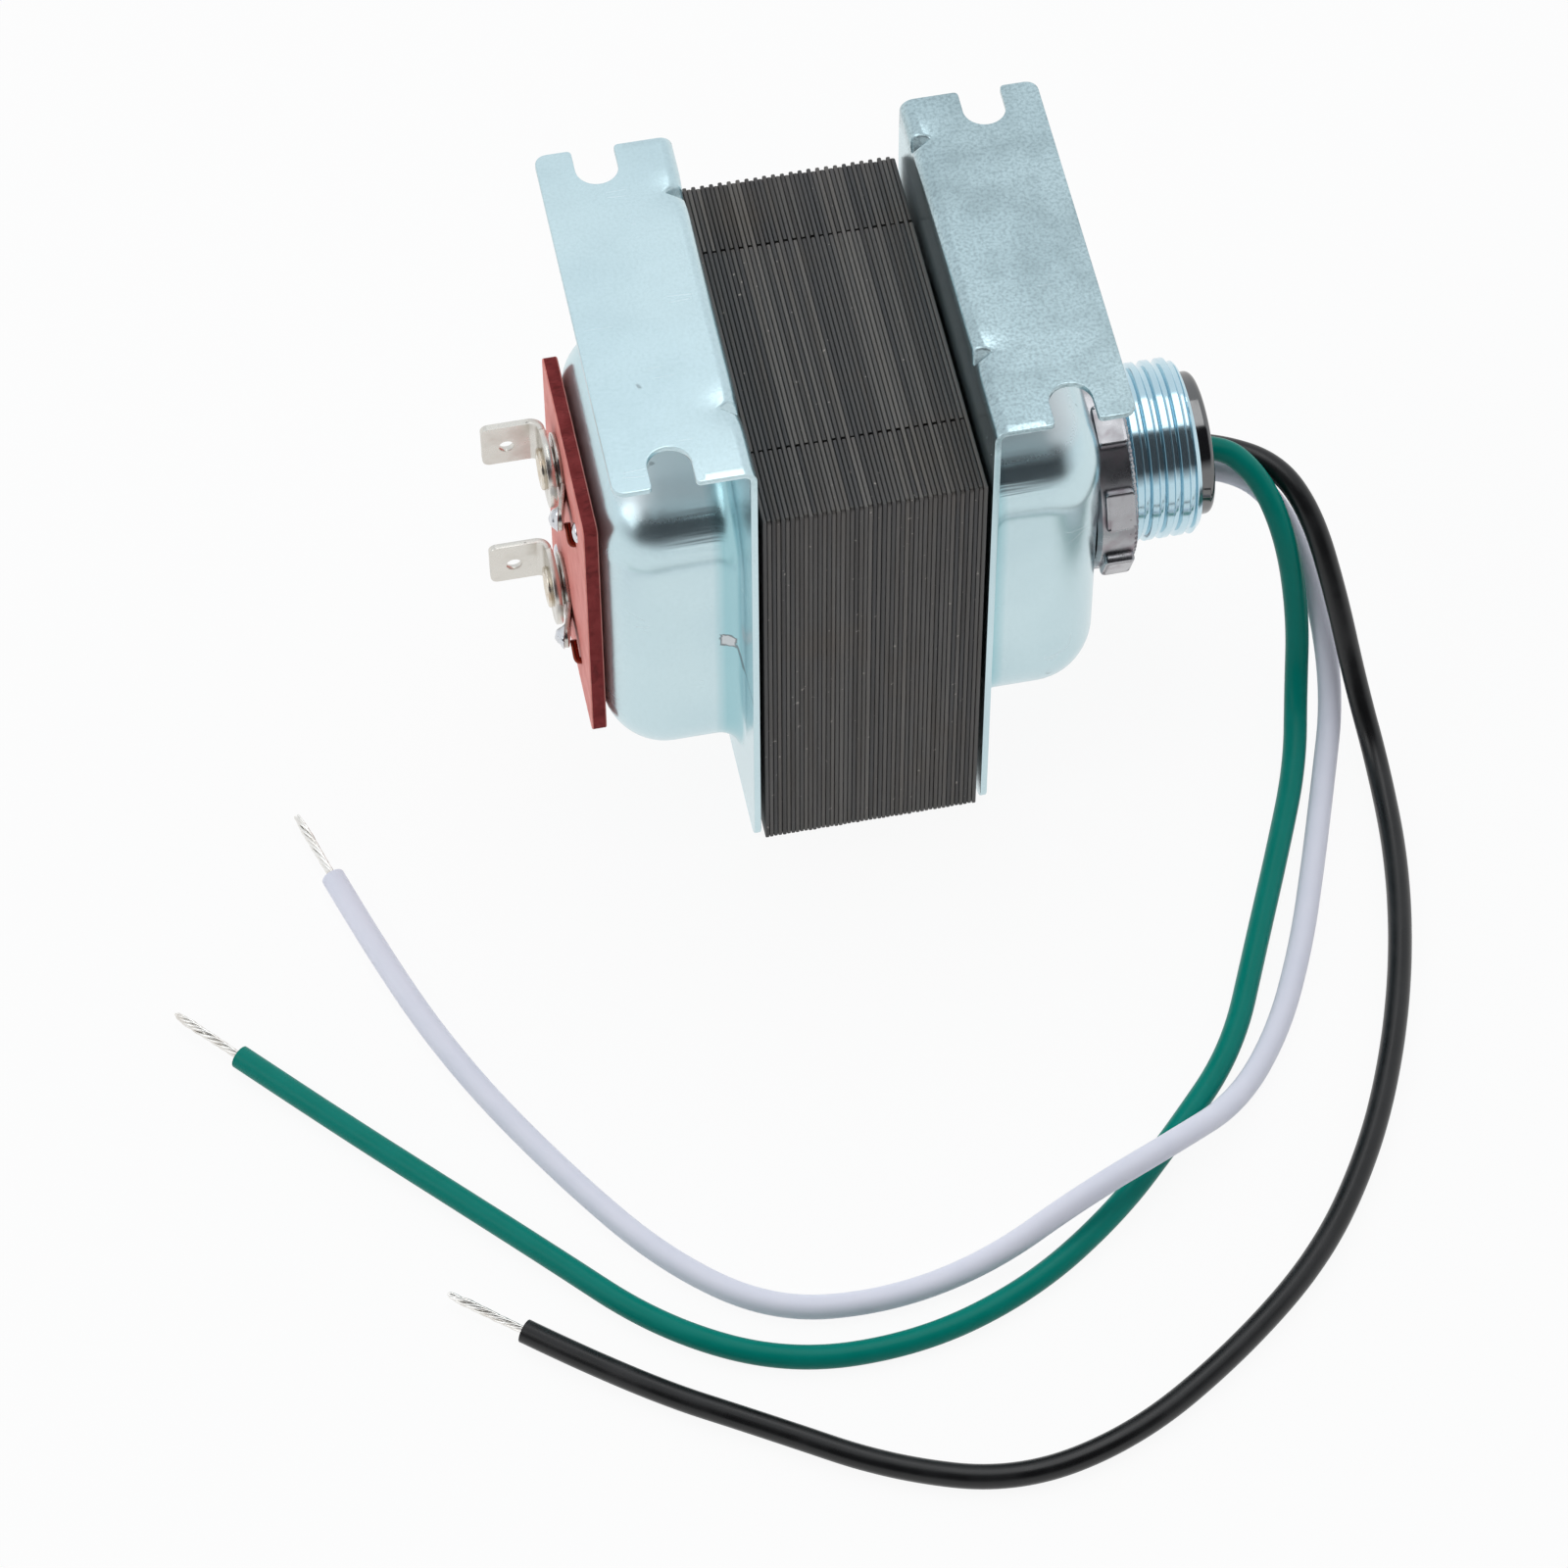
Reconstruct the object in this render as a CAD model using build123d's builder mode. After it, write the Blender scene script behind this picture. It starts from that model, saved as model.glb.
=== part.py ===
"""Doorbell transformer with two mounting feet, a conduit hub and quick-connect terminals.

The frame: X runs along the lamination stack from the terminal side (-X) to the hub side (+X),
Y runs away from the front, and Z runs up to the feet. The origin is the centre of the core's
underside. All sizes are in millimetres.
"""
import os
from math import cos, pi, radians, sin, tan

from build123d import *

# Core: E plates and I bars of the scrapless pattern, stacked one by one with the joints on alternate sides
leg_width = 10.0
window_width = 10.0
window_length = 30.0
tongue_width = 20.0
plate_thickness = 0.5
varnish_film = 0.02
plate_count = 49
joint_gap = 0.08

# Bells: one zinc-plated sheet each, with a flange, a drawn cup and a foot bent outward
sheet = 0.8
flange_gap = 0.5
foot_top = 69.2
foot_reach = 29.2
foot_bend_radius = 1.6
foot_corner_radius = 1.4
flange_corner_radius = 2.0
slot_width = 4.9
slot_depth = 5.5
slot_centre_x = 22.45
dart_spacing = 32.1
dart_centre_terminal_side = 0.9
dart_centre_hub_side = 2.85
dart_size = 2.3
dart_width = 3.2
cup_width = 36.0
cup_height = 44.0
cup_depth = 15.3
cup_corner_radius = 8.5
cup_edge_radius = 7.5
cup_root_radius = 2.6
cup_mouth_relief = 0.1

# Coil: a split bobbin on the tongue, with both windings side by side
bobbin_wall = 1.0
bobbin_play = 0.3
bobbin_flange = 0.9
bobbin_flange_height = 37.6
bobbin_end_play = 0.25
winding_build = 7.0
winding_corner_radius = 2.5
tape_thickness = 0.35

# Terminal board, its two fixing rivets and the two quick-connect terminals
board_thickness = 1.75
board_width = 26.6
board_height = 38.0
board_drop = 0.6
board_corner_radius = 1.0
board_slot_height = 10.0
board_slot_length = 10.6
board_slot_centre_y = 0.7
board_slot_corner_radius = 2.0
board_rivet_offsets = ((-7.7, 12.1), (8.8, -12.5))
board_rivet_radius = 0.8
board_rivet_head_radius = 1.2
board_rivet_head_height = 0.45
board_rivet_head_edge = 0.35
terminal_y = 3.0
terminal_pitch = 22.2
terminal_drop = 0.5
tab_thickness = 0.8
tab_width = 6.3
tab_reach = 8.35
tab_collar_radius = 2.4
tab_collar_height = 0.45
tab_disc_radius = 4.6
tab_root_y = 7.3
tab_bend_radius = 0.9
tab_tip_radius = 0.9
tab_hole_inset = 2.9
tab_hole_drop = 0.3
tab_hole_radius = 0.9
lug_thickness = 0.6
lug_disc_radius = 4.0
lug_tail_width = 3.0
lug_tail_length = 9.0
lug_tail_angle = 14.0
eyelet_radius = 1.5
eyelet_wall = 0.35
eyelet_head_radius = 2.5
eyelet_head_height = 0.6
eyelet_head_edge = 0.35
lead_radius = 0.4
lead_hole_play = 0.1
lead_clearance_radius = 1.3
lead_y = -6.9
lead_drop = 2.2
lead_bend_radius = 0.7
lead_lift = 0.12
solder_radius = 1.5
solder_sink = 0.4
solder_end_gap = 1.4

# Conduit hub: half-inch trade size thread, held by a locknut, with a bushing in its mouth
thread_radius = 10.5
thread_pitch = 1.814
thread_depth = 1.0
thread_flank_angle = 30.0
nipple_wall = 2.6
nipple_end_gap = 13.1
nipple_flange_width = 2.5
nipple_flange_thickness = 1.6
nipple_flange_bevel = 0.75
nipple_flange_seat = 0.2
nipple_end_chamfer = 1.1
locknut_thickness = 4.9
locknut_wall = 2.2
locknut_lug_height = 1.1
locknut_lug_count = 8
locknut_lug_width = 5.2
locknut_lug_start = 0.8
locknut_lug_length = 3.6
locknut_edge_chamfer = 0.5
bushing_rim_lap = 0.6
bushing_rim_thickness = 2.0
bushing_body_length = 7.0
bushing_wall = 3.5
bushing_edge_radius = 0.7
bushing_play = 0.05

# Leads: 18 gauge hook-up wire, stripped and tinned at the free end
wire_radius = 1.4
strand_radius = 0.75
stripped_length = 10.5
splice_radius = 2.0
splice_length = 8.0
coil_lead_radius = 0.25
coil_lead_bend_radius = 0.6
coil_lead_offset = 1.65
coil_lead_drop = 2.6
ground_solder_radius = 2.5
ground_solder_y = 10.45
ground_strand_length = 3.6
bend_share = 0.45

# The leads' routes, from inside the hub bell out over the floor, and chosen point by point
black_route = (
    (24.6, 0.9, 39.0),
    (24.6, 0.9, 31.7),
    (34.5, 1.1, 31.5),
    (46.5, 0.9, 31.6),
    (52.6, -2.6, 29.5),
    (55.6, -9.0, 25.2),
    (57.9, -15.6, 17.4),
    (59.4, -22.3, 7.6),
    (60.4, -30.6, 1.9),
    (59.3, -43.5, 1.4),
    (56.3, -57.0, 1.4),
    (51.6, -70.4, 1.4),
    (45.5, -82.8, 1.4),
    (37.0, -94.6, 1.4),
    (25.0, -104.6, 1.4),
    (11.2, -113.0, 1.4),
    (-2.8, -116.0, 1.4),
    (-16.0, -111.6, 1.4),
    (-28.0, -103.9, 1.4),
    (-41.5, -95.6, 1.4),
    (-52.4, -86.4, 1.4),
)
green_route = (
    (25.45, -7.9, 30.0),
    (25.45, -1.75, 30.0),
    (35.0, -1.9, 29.8),
    (46.0, -1.7, 30.2),
    (50.6, -5.2, 28.4),
    (53.0, -10.3, 22.3),
    (53.9, -14.8, 12.6),
    (52.9, -19.8, 4.6),
    (50.8, -28.4, 1.5),
    (45.9, -39.6, 1.4),
    (39.9, -52.6, 1.4),
    (33.8, -66.0, 1.4),
    (24.6, -75.8, 1.4),
    (15.6, -84.6, 1.4),
    (4.0, -92.4, 1.4),
    (-9.6, -96.8, 1.4),
    (-24.4, -96.4, 1.4),
    (-37.6, -89.0, 1.4),
    (-48.5, -76.8, 1.4),
    (-58.6, -65.8, 1.4),
    (-68.6, -54.9, 1.4),
    (-78.2, -44.0, 1.4),
)
white_route = (
    (24.6, 0.9, 21.0),
    (24.6, 0.9, 28.3),
    (34.5, 1.1, 28.5),
    (46.2, 0.7, 28.2),
    (51.6, -3.2, 25.2),
    (55.5, -8.4, 19.0),
    (57.1, -14.6, 11.2),
    (56.8, -22.0, 4.2),
    (53.6, -31.0, 1.4),
    (49.6, -42.0, 1.4),
    (45.2, -53.4, 1.4),
    (39.6, -64.6, 1.4),
    (32.6, -73.2, 1.8),
    (23.4, -80.0, 7.0),
    (11.6, -84.9, 7.0),
    (0.0, -88.4, 1.8),
    (-12.4, -90.8, 1.4),
    (-24.8, -89.4, 1.4),
    (-35.4, -80.6, 1.4),
    (-44.6, -67.0, 1.4),
    (-53.0, -52.0, 1.4),
    (-59.3, -36.4, 1.4),
    (-63.8, -21.3, 1.4),
)

os.makedirs("parts", exist_ok=True)

plate_pitch = plate_thickness + varnish_film
stack = plate_count * plate_pitch - varnish_film
core_height = tongue_width + 2 * (window_width + leg_width)
core_depth = window_length + 2 * leg_width
core_centre_z = core_height / 2
flange_back = stack / 2 + flange_gap
flange_face = flange_back + sheet
cup_face = flange_face + cup_depth
board_face = cup_face + board_thickness
board_centre_z = core_centre_z - board_drop
board_rivet_places = [(y, board_centre_z + z) for y, z in board_rivet_offsets]
nipple_bore_radius = thread_radius - nipple_wall
nipple_flange_radius = thread_radius + nipple_flange_width
bushing_rim_radius = nipple_bore_radius + bushing_rim_lap
bushing_bore_radius = nipple_bore_radius - bushing_wall
locknut_radius = thread_radius + locknut_wall
locknut_lug_reach = locknut_radius + locknut_lug_height


def save(part, label):
    """Label a finished piece and write it as a STEP file."""
    part.label = label
    export_step(part, "parts/" + label + ".step")


def plate_plane(index):
    """The plane of one lamination's left face, with local x along Y and local y along Z."""
    x = -stack / 2 + index * plate_pitch
    return Plane(origin=(x, 0, core_centre_z), x_dir=(0, 1, 0), z_dir=(1, 0, 0))


def e_plates(back_side, indices, label):
    """The E plates whose backs lie on one side of the core, -1 for the front and 1 for the rear."""
    back_y = back_side * (core_depth - leg_width) / 2
    leg_length = window_length - joint_gap
    leg_y = back_side * (core_depth / 2 - leg_width - leg_length / 2)
    leg_z = (core_height - leg_width) / 2
    with BuildPart() as plates:
        for index in indices:
            with BuildSketch(plate_plane(index)):
                with Locations((back_y, 0)):
                    Rectangle(leg_width, core_height)
                with Locations((leg_y, -leg_z), (leg_y, leg_z)):
                    Rectangle(leg_length, leg_width)
                with Locations((leg_y, 0)):
                    Rectangle(leg_length, tongue_width)
            extrude(amount=plate_thickness)
    save(plates.part, label)


def i_bars(side, indices, label):
    """The I bars that close the E plates, on the side away from the E plates' backs."""
    with BuildPart() as bars:
        for index in indices:
            with BuildSketch(plate_plane(index)):
                with Locations((side * (core_depth - leg_width) / 2, 0)):
                    Rectangle(leg_width, core_height)
            extrude(amount=plate_thickness)
    save(bars.part, label)


even_plates = range(0, plate_count, 2)
odd_plates = range(1, plate_count, 2)
e_plates(-1, even_plates, "e_plates_front")
i_bars(1, even_plates, "i_bars_rear")
e_plates(1, odd_plates, "e_plates_rear")
i_bars(-1, odd_plates, "i_bars_front")

# The bobbin's tube slides on the tongue and its three flanges keep the windings apart
tube_inner_x = stack + 2 * bobbin_play
tube_inner_z = tongue_width + 2 * bobbin_play
tube_outer_x = tube_inner_x + 2 * bobbin_wall
tube_outer_z = tube_inner_z + 2 * bobbin_wall
bobbin_length = window_length - 2 * bobbin_end_play
flange_outer_x = tube_outer_x + 2 * (winding_build + tape_thickness)
with BuildPart() as bobbin:
    with BuildSketch(Plane.XZ.offset(-bobbin_length / 2)):
        with Locations((0, core_centre_z)):
            Rectangle(tube_outer_x, tube_outer_z)
    extrude(amount=bobbin_length)
    for flange_y in (-bobbin_length / 2, -bobbin_flange / 2, bobbin_length / 2 - bobbin_flange):
        with BuildSketch(Plane.XZ.offset(-flange_y - bobbin_flange)):
            with Locations((0, core_centre_z)):
                RectangleRounded(flange_outer_x, bobbin_flange_height, winding_corner_radius)
        extrude(amount=bobbin_flange)
    with BuildSketch(Plane.XZ.offset(-bobbin_length / 2)):
        with Locations((0, core_centre_z)):
            Rectangle(tube_inner_x, tube_inner_z)
    extrude(amount=bobbin_length, mode=Mode.SUBTRACT)
save(bobbin.part, "bobbin")


def coil_ring(side, inset, build, lead_places, label):
    """A winding or its tape: a rounded ring round the bobbin's tube, with openings where leads pass the tape."""
    chamber = (bobbin_length - 3 * bobbin_flange) / 2
    near = bobbin_flange / 2 if side > 0 else -bobbin_flange / 2 - chamber
    with BuildPart() as ring:
        with BuildSketch(Plane.XZ.offset(-near - chamber)):
            with Locations((0, core_centre_z)):
                outer_x = tube_outer_x + 2 * (inset + build)
                outer_z = tube_outer_z + 2 * (inset + build)
                if inset > 0:
                    RectangleRounded(outer_x, outer_z, winding_corner_radius + build)
                    RectangleRounded(
                        tube_outer_x + 2 * inset,
                        tube_outer_z + 2 * inset,
                        winding_corner_radius,
                        mode=Mode.SUBTRACT,
                    )
                else:
                    RectangleRounded(outer_x, outer_z, winding_corner_radius)
                    Rectangle(tube_outer_x, tube_outer_z, mode=Mode.SUBTRACT)
        extrude(amount=chamber)
        if inset > 0:
            for y, z in lead_places:
                with BuildSketch(Plane.YZ.offset(side * outer_x / 2)):
                    with Locations((y, z)):
                        Circle(lead_radius)
                extrude(amount=-side * 2 * build, mode=Mode.SUBTRACT)
    save(ring.part, label)


terminal_centre_z = core_centre_z - terminal_drop
terminal_heights = (terminal_centre_z + terminal_pitch / 2, terminal_centre_z - terminal_pitch / 2)
secondary_lead_places = [(lead_y, z - lead_drop) for z in terminal_heights]
primary_lead_places = [
    (black_route[0][1], black_route[0][2] - coil_lead_drop),
    (white_route[0][1], white_route[0][2] + coil_lead_drop),
]
coil_ring(1, 0, winding_build, [], "primary_winding")
coil_ring(-1, 0, winding_build, [], "secondary_winding")
coil_ring(1, winding_build, tape_thickness, primary_lead_places, "primary_tape")
coil_ring(-1, winding_build, tape_thickness, secondary_lead_places, "secondary_tape")


def foot_slots():
    """Two open slots in the foot, one at each end, as a sketch on the foot's top."""
    with BuildSketch(Plane.XY.offset(foot_top)) as slots:
        for side in (-1, 1):
            round_y = side * (core_depth / 2 - slot_depth + slot_width / 2)
            with Locations((slot_centre_x, round_y)):
                Circle(slot_width / 2)
            with Locations((slot_centre_x, round_y + side * slot_depth / 2)):
                Rectangle(slot_width, slot_depth)
    return slots.sketch


def dart_pyramids(centre_y, offset):
    """Both darts' hollows at the foot's bend, moved inward through the sheet by an offset."""
    corner_x = flange_back + offset
    corner_z = foot_top - offset
    with BuildPart() as darts:
        for dart_y in (centre_y - dart_spacing / 2, centre_y + dart_spacing / 2):
            with BuildSketch(Plane.XZ.offset(-dart_y)) as triangle:
                with BuildLine():
                    Polyline(
                        (corner_x, corner_z),
                        (corner_x + dart_size, corner_z),
                        (corner_x, corner_z - dart_size),
                        close=True,
                    )
                make_face()
            for side in (-1, 1):
                tip = Vertex(corner_x, dart_y + side * dart_width / 2, corner_z)
                loft(sections=[triangle.sketch.faces()[0], tip], ruled=True)
    return darts.part


def cup_form(inset):
    """The drawn cup's outer form, or its cavity when inset by the sheet."""
    with BuildPart() as form:
        with BuildSketch(Plane.YZ.offset(flange_face)):
            with Locations((0, core_centre_z)):
                RectangleRounded(cup_width - 2 * inset, cup_height - 2 * inset, cup_corner_radius - inset)
        extrude(amount=cup_depth - inset)
        fillet(form.faces().sort_by(Axis.X)[-1].edges(), cup_edge_radius - inset)
    return form.part


cup_outside = cup_form(0)
cup_cavity = cup_form(sheet)
slots_sketch = foot_slots()

# The bell's blank on the hub side: an L of sheet, with the cup drawn out of its flange
with BuildPart() as bell_blank:
    with BuildSketch(Plane.XZ.offset(-core_depth / 2)) as bell_profile:
        with Locations((flange_back, 0)):
            Rectangle(sheet, foot_top, align=(Align.MIN, Align.MIN))
        with Locations((flange_back, foot_top)):
            Rectangle(foot_reach - flange_back, sheet, align=(Align.MIN, Align.MAX))
        bend_outside = bell_profile.vertices().group_by(Axis.Y)[-1].sort_by(Axis.X)[0]
        fillet(bend_outside, foot_bend_radius)
        bend_inside = bell_profile.vertices().filter_by(
            lambda v: abs(v.X - flange_face) < 0.01 and abs(v.Y - foot_top + sheet) < 0.01
        )
        fillet(bend_inside, foot_bend_radius - sheet)
    extrude(amount=core_depth)
    fillet(bell_blank.edges().filter_by(Axis.X).group_by(Axis.Z)[0], flange_corner_radius)
    fillet(bell_blank.edges().filter_by(Axis.Z).group_by(Axis.X)[-1], foot_corner_radius)
    add(cup_outside)
    root_edges = bell_blank.edges().filter_by_position(Axis.X, flange_face - 0.01, flange_face + 0.01)
    root_edges = root_edges.filter_by(lambda e: abs(e.center().Y) < core_depth / 2 - 1 and e.center().Z > 1)
    root_edges = root_edges.filter_by(lambda e: e.center().Z < foot_top - 2 * foot_bend_radius)
    fillet(root_edges, cup_root_radius)
    add(cup_cavity, mode=Mode.SUBTRACT)
    with BuildSketch(Plane.YZ.offset(flange_face)):
        with Locations((0, core_centre_z)):
            RectangleRounded(cup_width - 2 * sheet, cup_height - 2 * sheet, cup_corner_radius - sheet)
    extrude(amount=-sheet, mode=Mode.SUBTRACT)
    mouth_edges = bell_blank.edges().filter_by_position(Axis.X, flange_back - 0.01, flange_back + 0.01)
    mouth_edges = mouth_edges.filter_by(lambda e: abs(e.center().Y) < core_depth / 2 - 1 and e.center().Z > 1)
    mouth_edges = mouth_edges.filter_by(lambda e: e.center().Z < foot_top - 2 * foot_bend_radius)
    fillet(mouth_edges, cup_root_radius + sheet - cup_mouth_relief)
    extrude(slots_sketch, amount=-2 * sheet, mode=Mode.SUBTRACT)

hub_side_ribs = dart_pyramids(dart_centre_hub_side, sheet)
hub_side_hollows = dart_pyramids(dart_centre_hub_side, 0)
terminal_side_ribs = mirror(dart_pyramids(dart_centre_terminal_side, sheet), about=Plane.YZ)
terminal_side_hollows = mirror(dart_pyramids(dart_centre_terminal_side, 0), about=Plane.YZ)

with BuildPart() as hub_bell:
    add(bell_blank.part)
    add(hub_side_ribs)
    add(hub_side_hollows, mode=Mode.SUBTRACT)
    with BuildSketch(Plane.YZ.offset(cup_face)):
        with Locations((0, core_centre_z)):
            Circle(thread_radius)
    extrude(amount=-2 * sheet, mode=Mode.SUBTRACT)
save(hub_bell.part, "hub_bell")

with BuildPart() as terminal_bell:
    add(mirror(bell_blank.part, about=Plane.YZ))
    add(terminal_side_ribs)
    add(terminal_side_hollows, mode=Mode.SUBTRACT)
    with BuildSketch(Plane.YZ.offset(-cup_face)):
        with Locations(*[(board_slot_centre_y, z) for z in terminal_heights]):
            RectangleRounded(board_slot_length, board_slot_height, board_slot_corner_radius)
        with Locations(*board_rivet_places):
            Circle(board_rivet_radius)
        with Locations(*secondary_lead_places):
            Circle(lead_clearance_radius)
    extrude(amount=2 * sheet, mode=Mode.SUBTRACT)
save(terminal_bell.part, "terminal_bell")

# The board is a plain rectangle of vulcanised fibre, with holes for both eyelets, both rivets and both leads
with BuildPart() as terminal_board:
    with BuildSketch(Plane.YZ.offset(-board_face)):
        with Locations((0, board_centre_z)):
            RectangleRounded(board_width, board_height, board_corner_radius)
        with Locations(*[(terminal_y, z) for z in terminal_heights]):
            Circle(eyelet_radius, mode=Mode.SUBTRACT)
        with Locations(*board_rivet_places):
            Circle(board_rivet_radius, mode=Mode.SUBTRACT)
        with Locations(*secondary_lead_places):
            Circle(lead_radius + lead_hole_play, mode=Mode.SUBTRACT)
    extrude(amount=board_thickness)
save(terminal_board.part, "terminal_board")

with BuildPart() as board_rivets:
    with BuildSketch(Plane.YZ.offset(-board_face)):
        with Locations(*board_rivet_places):
            Circle(board_rivet_radius)
    extrude(amount=board_thickness + sheet)
    with BuildSketch(Plane.YZ.offset(-board_face)):
        with Locations(*board_rivet_places):
            Circle(board_rivet_head_radius)
    extrude(amount=-board_rivet_head_height)
    with BuildSketch(Plane.YZ.offset(-cup_face + sheet)):
        with Locations(*board_rivet_places):
            Circle(board_rivet_head_radius)
    extrude(amount=board_rivet_head_height)
    head_edges = board_rivets.edges().group_by(Axis.X)
    fillet(head_edges[0] + head_edges[-1], board_rivet_head_edge)
save(board_rivets.part, "board_rivets")

lug_face = board_face + lug_thickness
disc_back = lug_face + tab_collar_height
disc_face = disc_back + tab_thickness


def quick_tab(height, label):
    """A male quick-connect tab: a disc that stands on a collar, bent out into a blade with a hole."""
    blade_tip = board_face + tab_reach
    blade_back_y = tab_root_y + tab_thickness
    disc_end_y = terminal_y - tab_disc_radius
    with BuildPart() as tab:
        with BuildSketch(Plane.XY.offset(height - tab_disc_radius)) as bent_strip:
            with BuildLine():
                Polyline(
                    (-disc_back, disc_end_y),
                    (-disc_back, blade_back_y),
                    (-blade_tip, blade_back_y),
                    (-blade_tip, tab_root_y),
                    (-disc_face, tab_root_y),
                    (-disc_face, disc_end_y),
                    close=True,
                )
            make_face()
            outer_corner = bent_strip.vertices().group_by(Axis.Y)[-1].sort_by(Axis.X)[-1]
            fillet(outer_corner, tab_bend_radius + tab_thickness)
            inner_corner = bent_strip.vertices().sort_by_distance((-disc_face, tab_root_y))[0]
            fillet(inner_corner, tab_bend_radius)
        extrude(amount=2 * tab_disc_radius)
        with BuildSketch(Plane.YZ.offset(-blade_tip)):
            with Locations((terminal_y, height)):
                Circle(tab_disc_radius)
            with Locations(((terminal_y + blade_back_y) / 2, height)):
                Rectangle(blade_back_y - terminal_y, tab_width)
        extrude(amount=blade_tip - disc_back, mode=Mode.INTERSECT)
        fillet(tab.edges().filter_by(Axis.Y).group_by(Axis.X)[0], tab_tip_radius)
        with BuildSketch(Plane.XZ.offset(-blade_back_y)):
            with Locations((-blade_tip + tab_hole_inset, height - tab_hole_drop)):
                Circle(tab_hole_radius)
        extrude(amount=tab_thickness, mode=Mode.SUBTRACT)
        with BuildSketch(Plane.YZ.offset(-lug_face)):
            with Locations((terminal_y, height)):
                Circle(tab_collar_radius)
        extrude(amount=-tab_collar_height)
        with BuildSketch(Plane.YZ.offset(-lug_face)):
            with Locations((terminal_y, height)):
                Circle(eyelet_radius)
        extrude(amount=-tab_collar_height - tab_thickness, mode=Mode.SUBTRACT)
    save(tab.part, label)


tail_root_y = terminal_y - lug_disc_radius
tail_end_y = terminal_y - lug_tail_length
tail_rise = (tail_root_y - tail_end_y) * tan(radians(lug_tail_angle))


def solder_lug(height, label):
    """The lug between tab and board, whose tail is bent off the board to take the coil's lead."""
    with BuildPart() as lug:
        with BuildSketch(Plane.XY.offset(height - lug_disc_radius)):
            with BuildLine():
                Polyline(
                    (-board_face, terminal_y + lug_disc_radius),
                    (-board_face, tail_root_y),
                    (-board_face - tail_rise, tail_end_y),
                    (-lug_face - tail_rise, tail_end_y),
                    (-lug_face, tail_root_y),
                    (-lug_face, terminal_y + lug_disc_radius),
                    close=True,
                )
            make_face()
        extrude(amount=2 * lug_disc_radius)
        with BuildSketch(Plane.YZ.offset(-disc_face)):
            with Locations((terminal_y, height)):
                Circle(lug_disc_radius)
            with Locations((terminal_y - lug_tail_length / 2, height)):
                SlotOverall(lug_tail_length + lug_tail_width, lug_tail_width)
            with Locations((terminal_y, height)):
                Circle(eyelet_radius, mode=Mode.SUBTRACT)
        extrude(amount=disc_face - board_face, mode=Mode.INTERSECT)
    save(lug.part, label)


solder_y = tail_end_y + solder_end_gap
tail_normal = Vector(-cos(radians(lug_tail_angle)), sin(radians(lug_tail_angle)), 0)
solder_seat_x = -lug_face - (tail_root_y - solder_y) * tan(radians(lug_tail_angle))


def coil_lead(place, height, label):
    """A secondary lead: out of the coil, through the board and back over the lug's tail."""
    y, z = place
    end = Vector(solder_seat_x, solder_y, height) + tail_normal * (lead_lift + lead_radius)
    with BuildPart() as lead:
        with BuildLine() as path:
            FilletPolyline(
                (-tube_outer_x / 2 - winding_build, y, z),
                (end.X - (solder_y - y) * tan(radians(lug_tail_angle)), y, z),
                end,
                radius=lead_bend_radius,
            )
        with BuildSketch(Plane(origin=path.line @ 0, z_dir=path.line % 0)):
            Circle(lead_radius)
        sweep()
    save(lead.part, label)
    return lead.part


def solder_joint(height, lead, label):
    """A drop of solder on the lug's tail, with the lead's end in it."""
    seat = Plane(origin=(solder_seat_x, solder_y, height), z_dir=tail_normal)
    with BuildPart() as drop:
        with Locations(seat.origin - tail_normal * solder_sink):
            Sphere(solder_radius)
        split(bisect_by=seat)
        add(lead, mode=Mode.SUBTRACT)
    save(drop.part, label)


for height, place, suffix in zip(terminal_heights, secondary_lead_places, ("upper", "lower")):
    quick_tab(height, "tab_" + suffix)
    solder_lug(height, "lug_" + suffix)
    lead_part = coil_lead(place, height, "secondary_lead_" + suffix)
    solder_joint(height, lead_part, "lug_solder_" + suffix)

# Hollow eyelets, rolled over on the tabs' discs and behind the board
with BuildPart() as eyelets:
    with BuildSketch(Plane.YZ.offset(-disc_face)):
        with Locations(*[(terminal_y, z) for z in terminal_heights]):
            Circle(eyelet_radius)
    extrude(amount=disc_face - cup_face)
    for face_x, outward in ((-disc_face, -1), (-cup_face, 1)):
        with BuildSketch(Plane.YZ.offset(face_x)):
            with Locations(*[(terminal_y, z) for z in terminal_heights]):
                Circle(eyelet_head_radius)
        extrude(amount=outward * eyelet_head_height)
    head_edges = eyelets.edges().group_by(Axis.X)
    fillet(head_edges[0] + head_edges[-1], eyelet_head_edge)
    with BuildSketch(Plane.YZ.offset(-disc_face - eyelet_head_height)):
        with Locations(*[(terminal_y, z) for z in terminal_heights]):
            Circle(eyelet_radius - eyelet_wall)
    extrude(amount=disc_face - cup_face + 2 * eyelet_head_height, mode=Mode.SUBTRACT)
save(eyelets.part, "terminal_eyelets")

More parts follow.
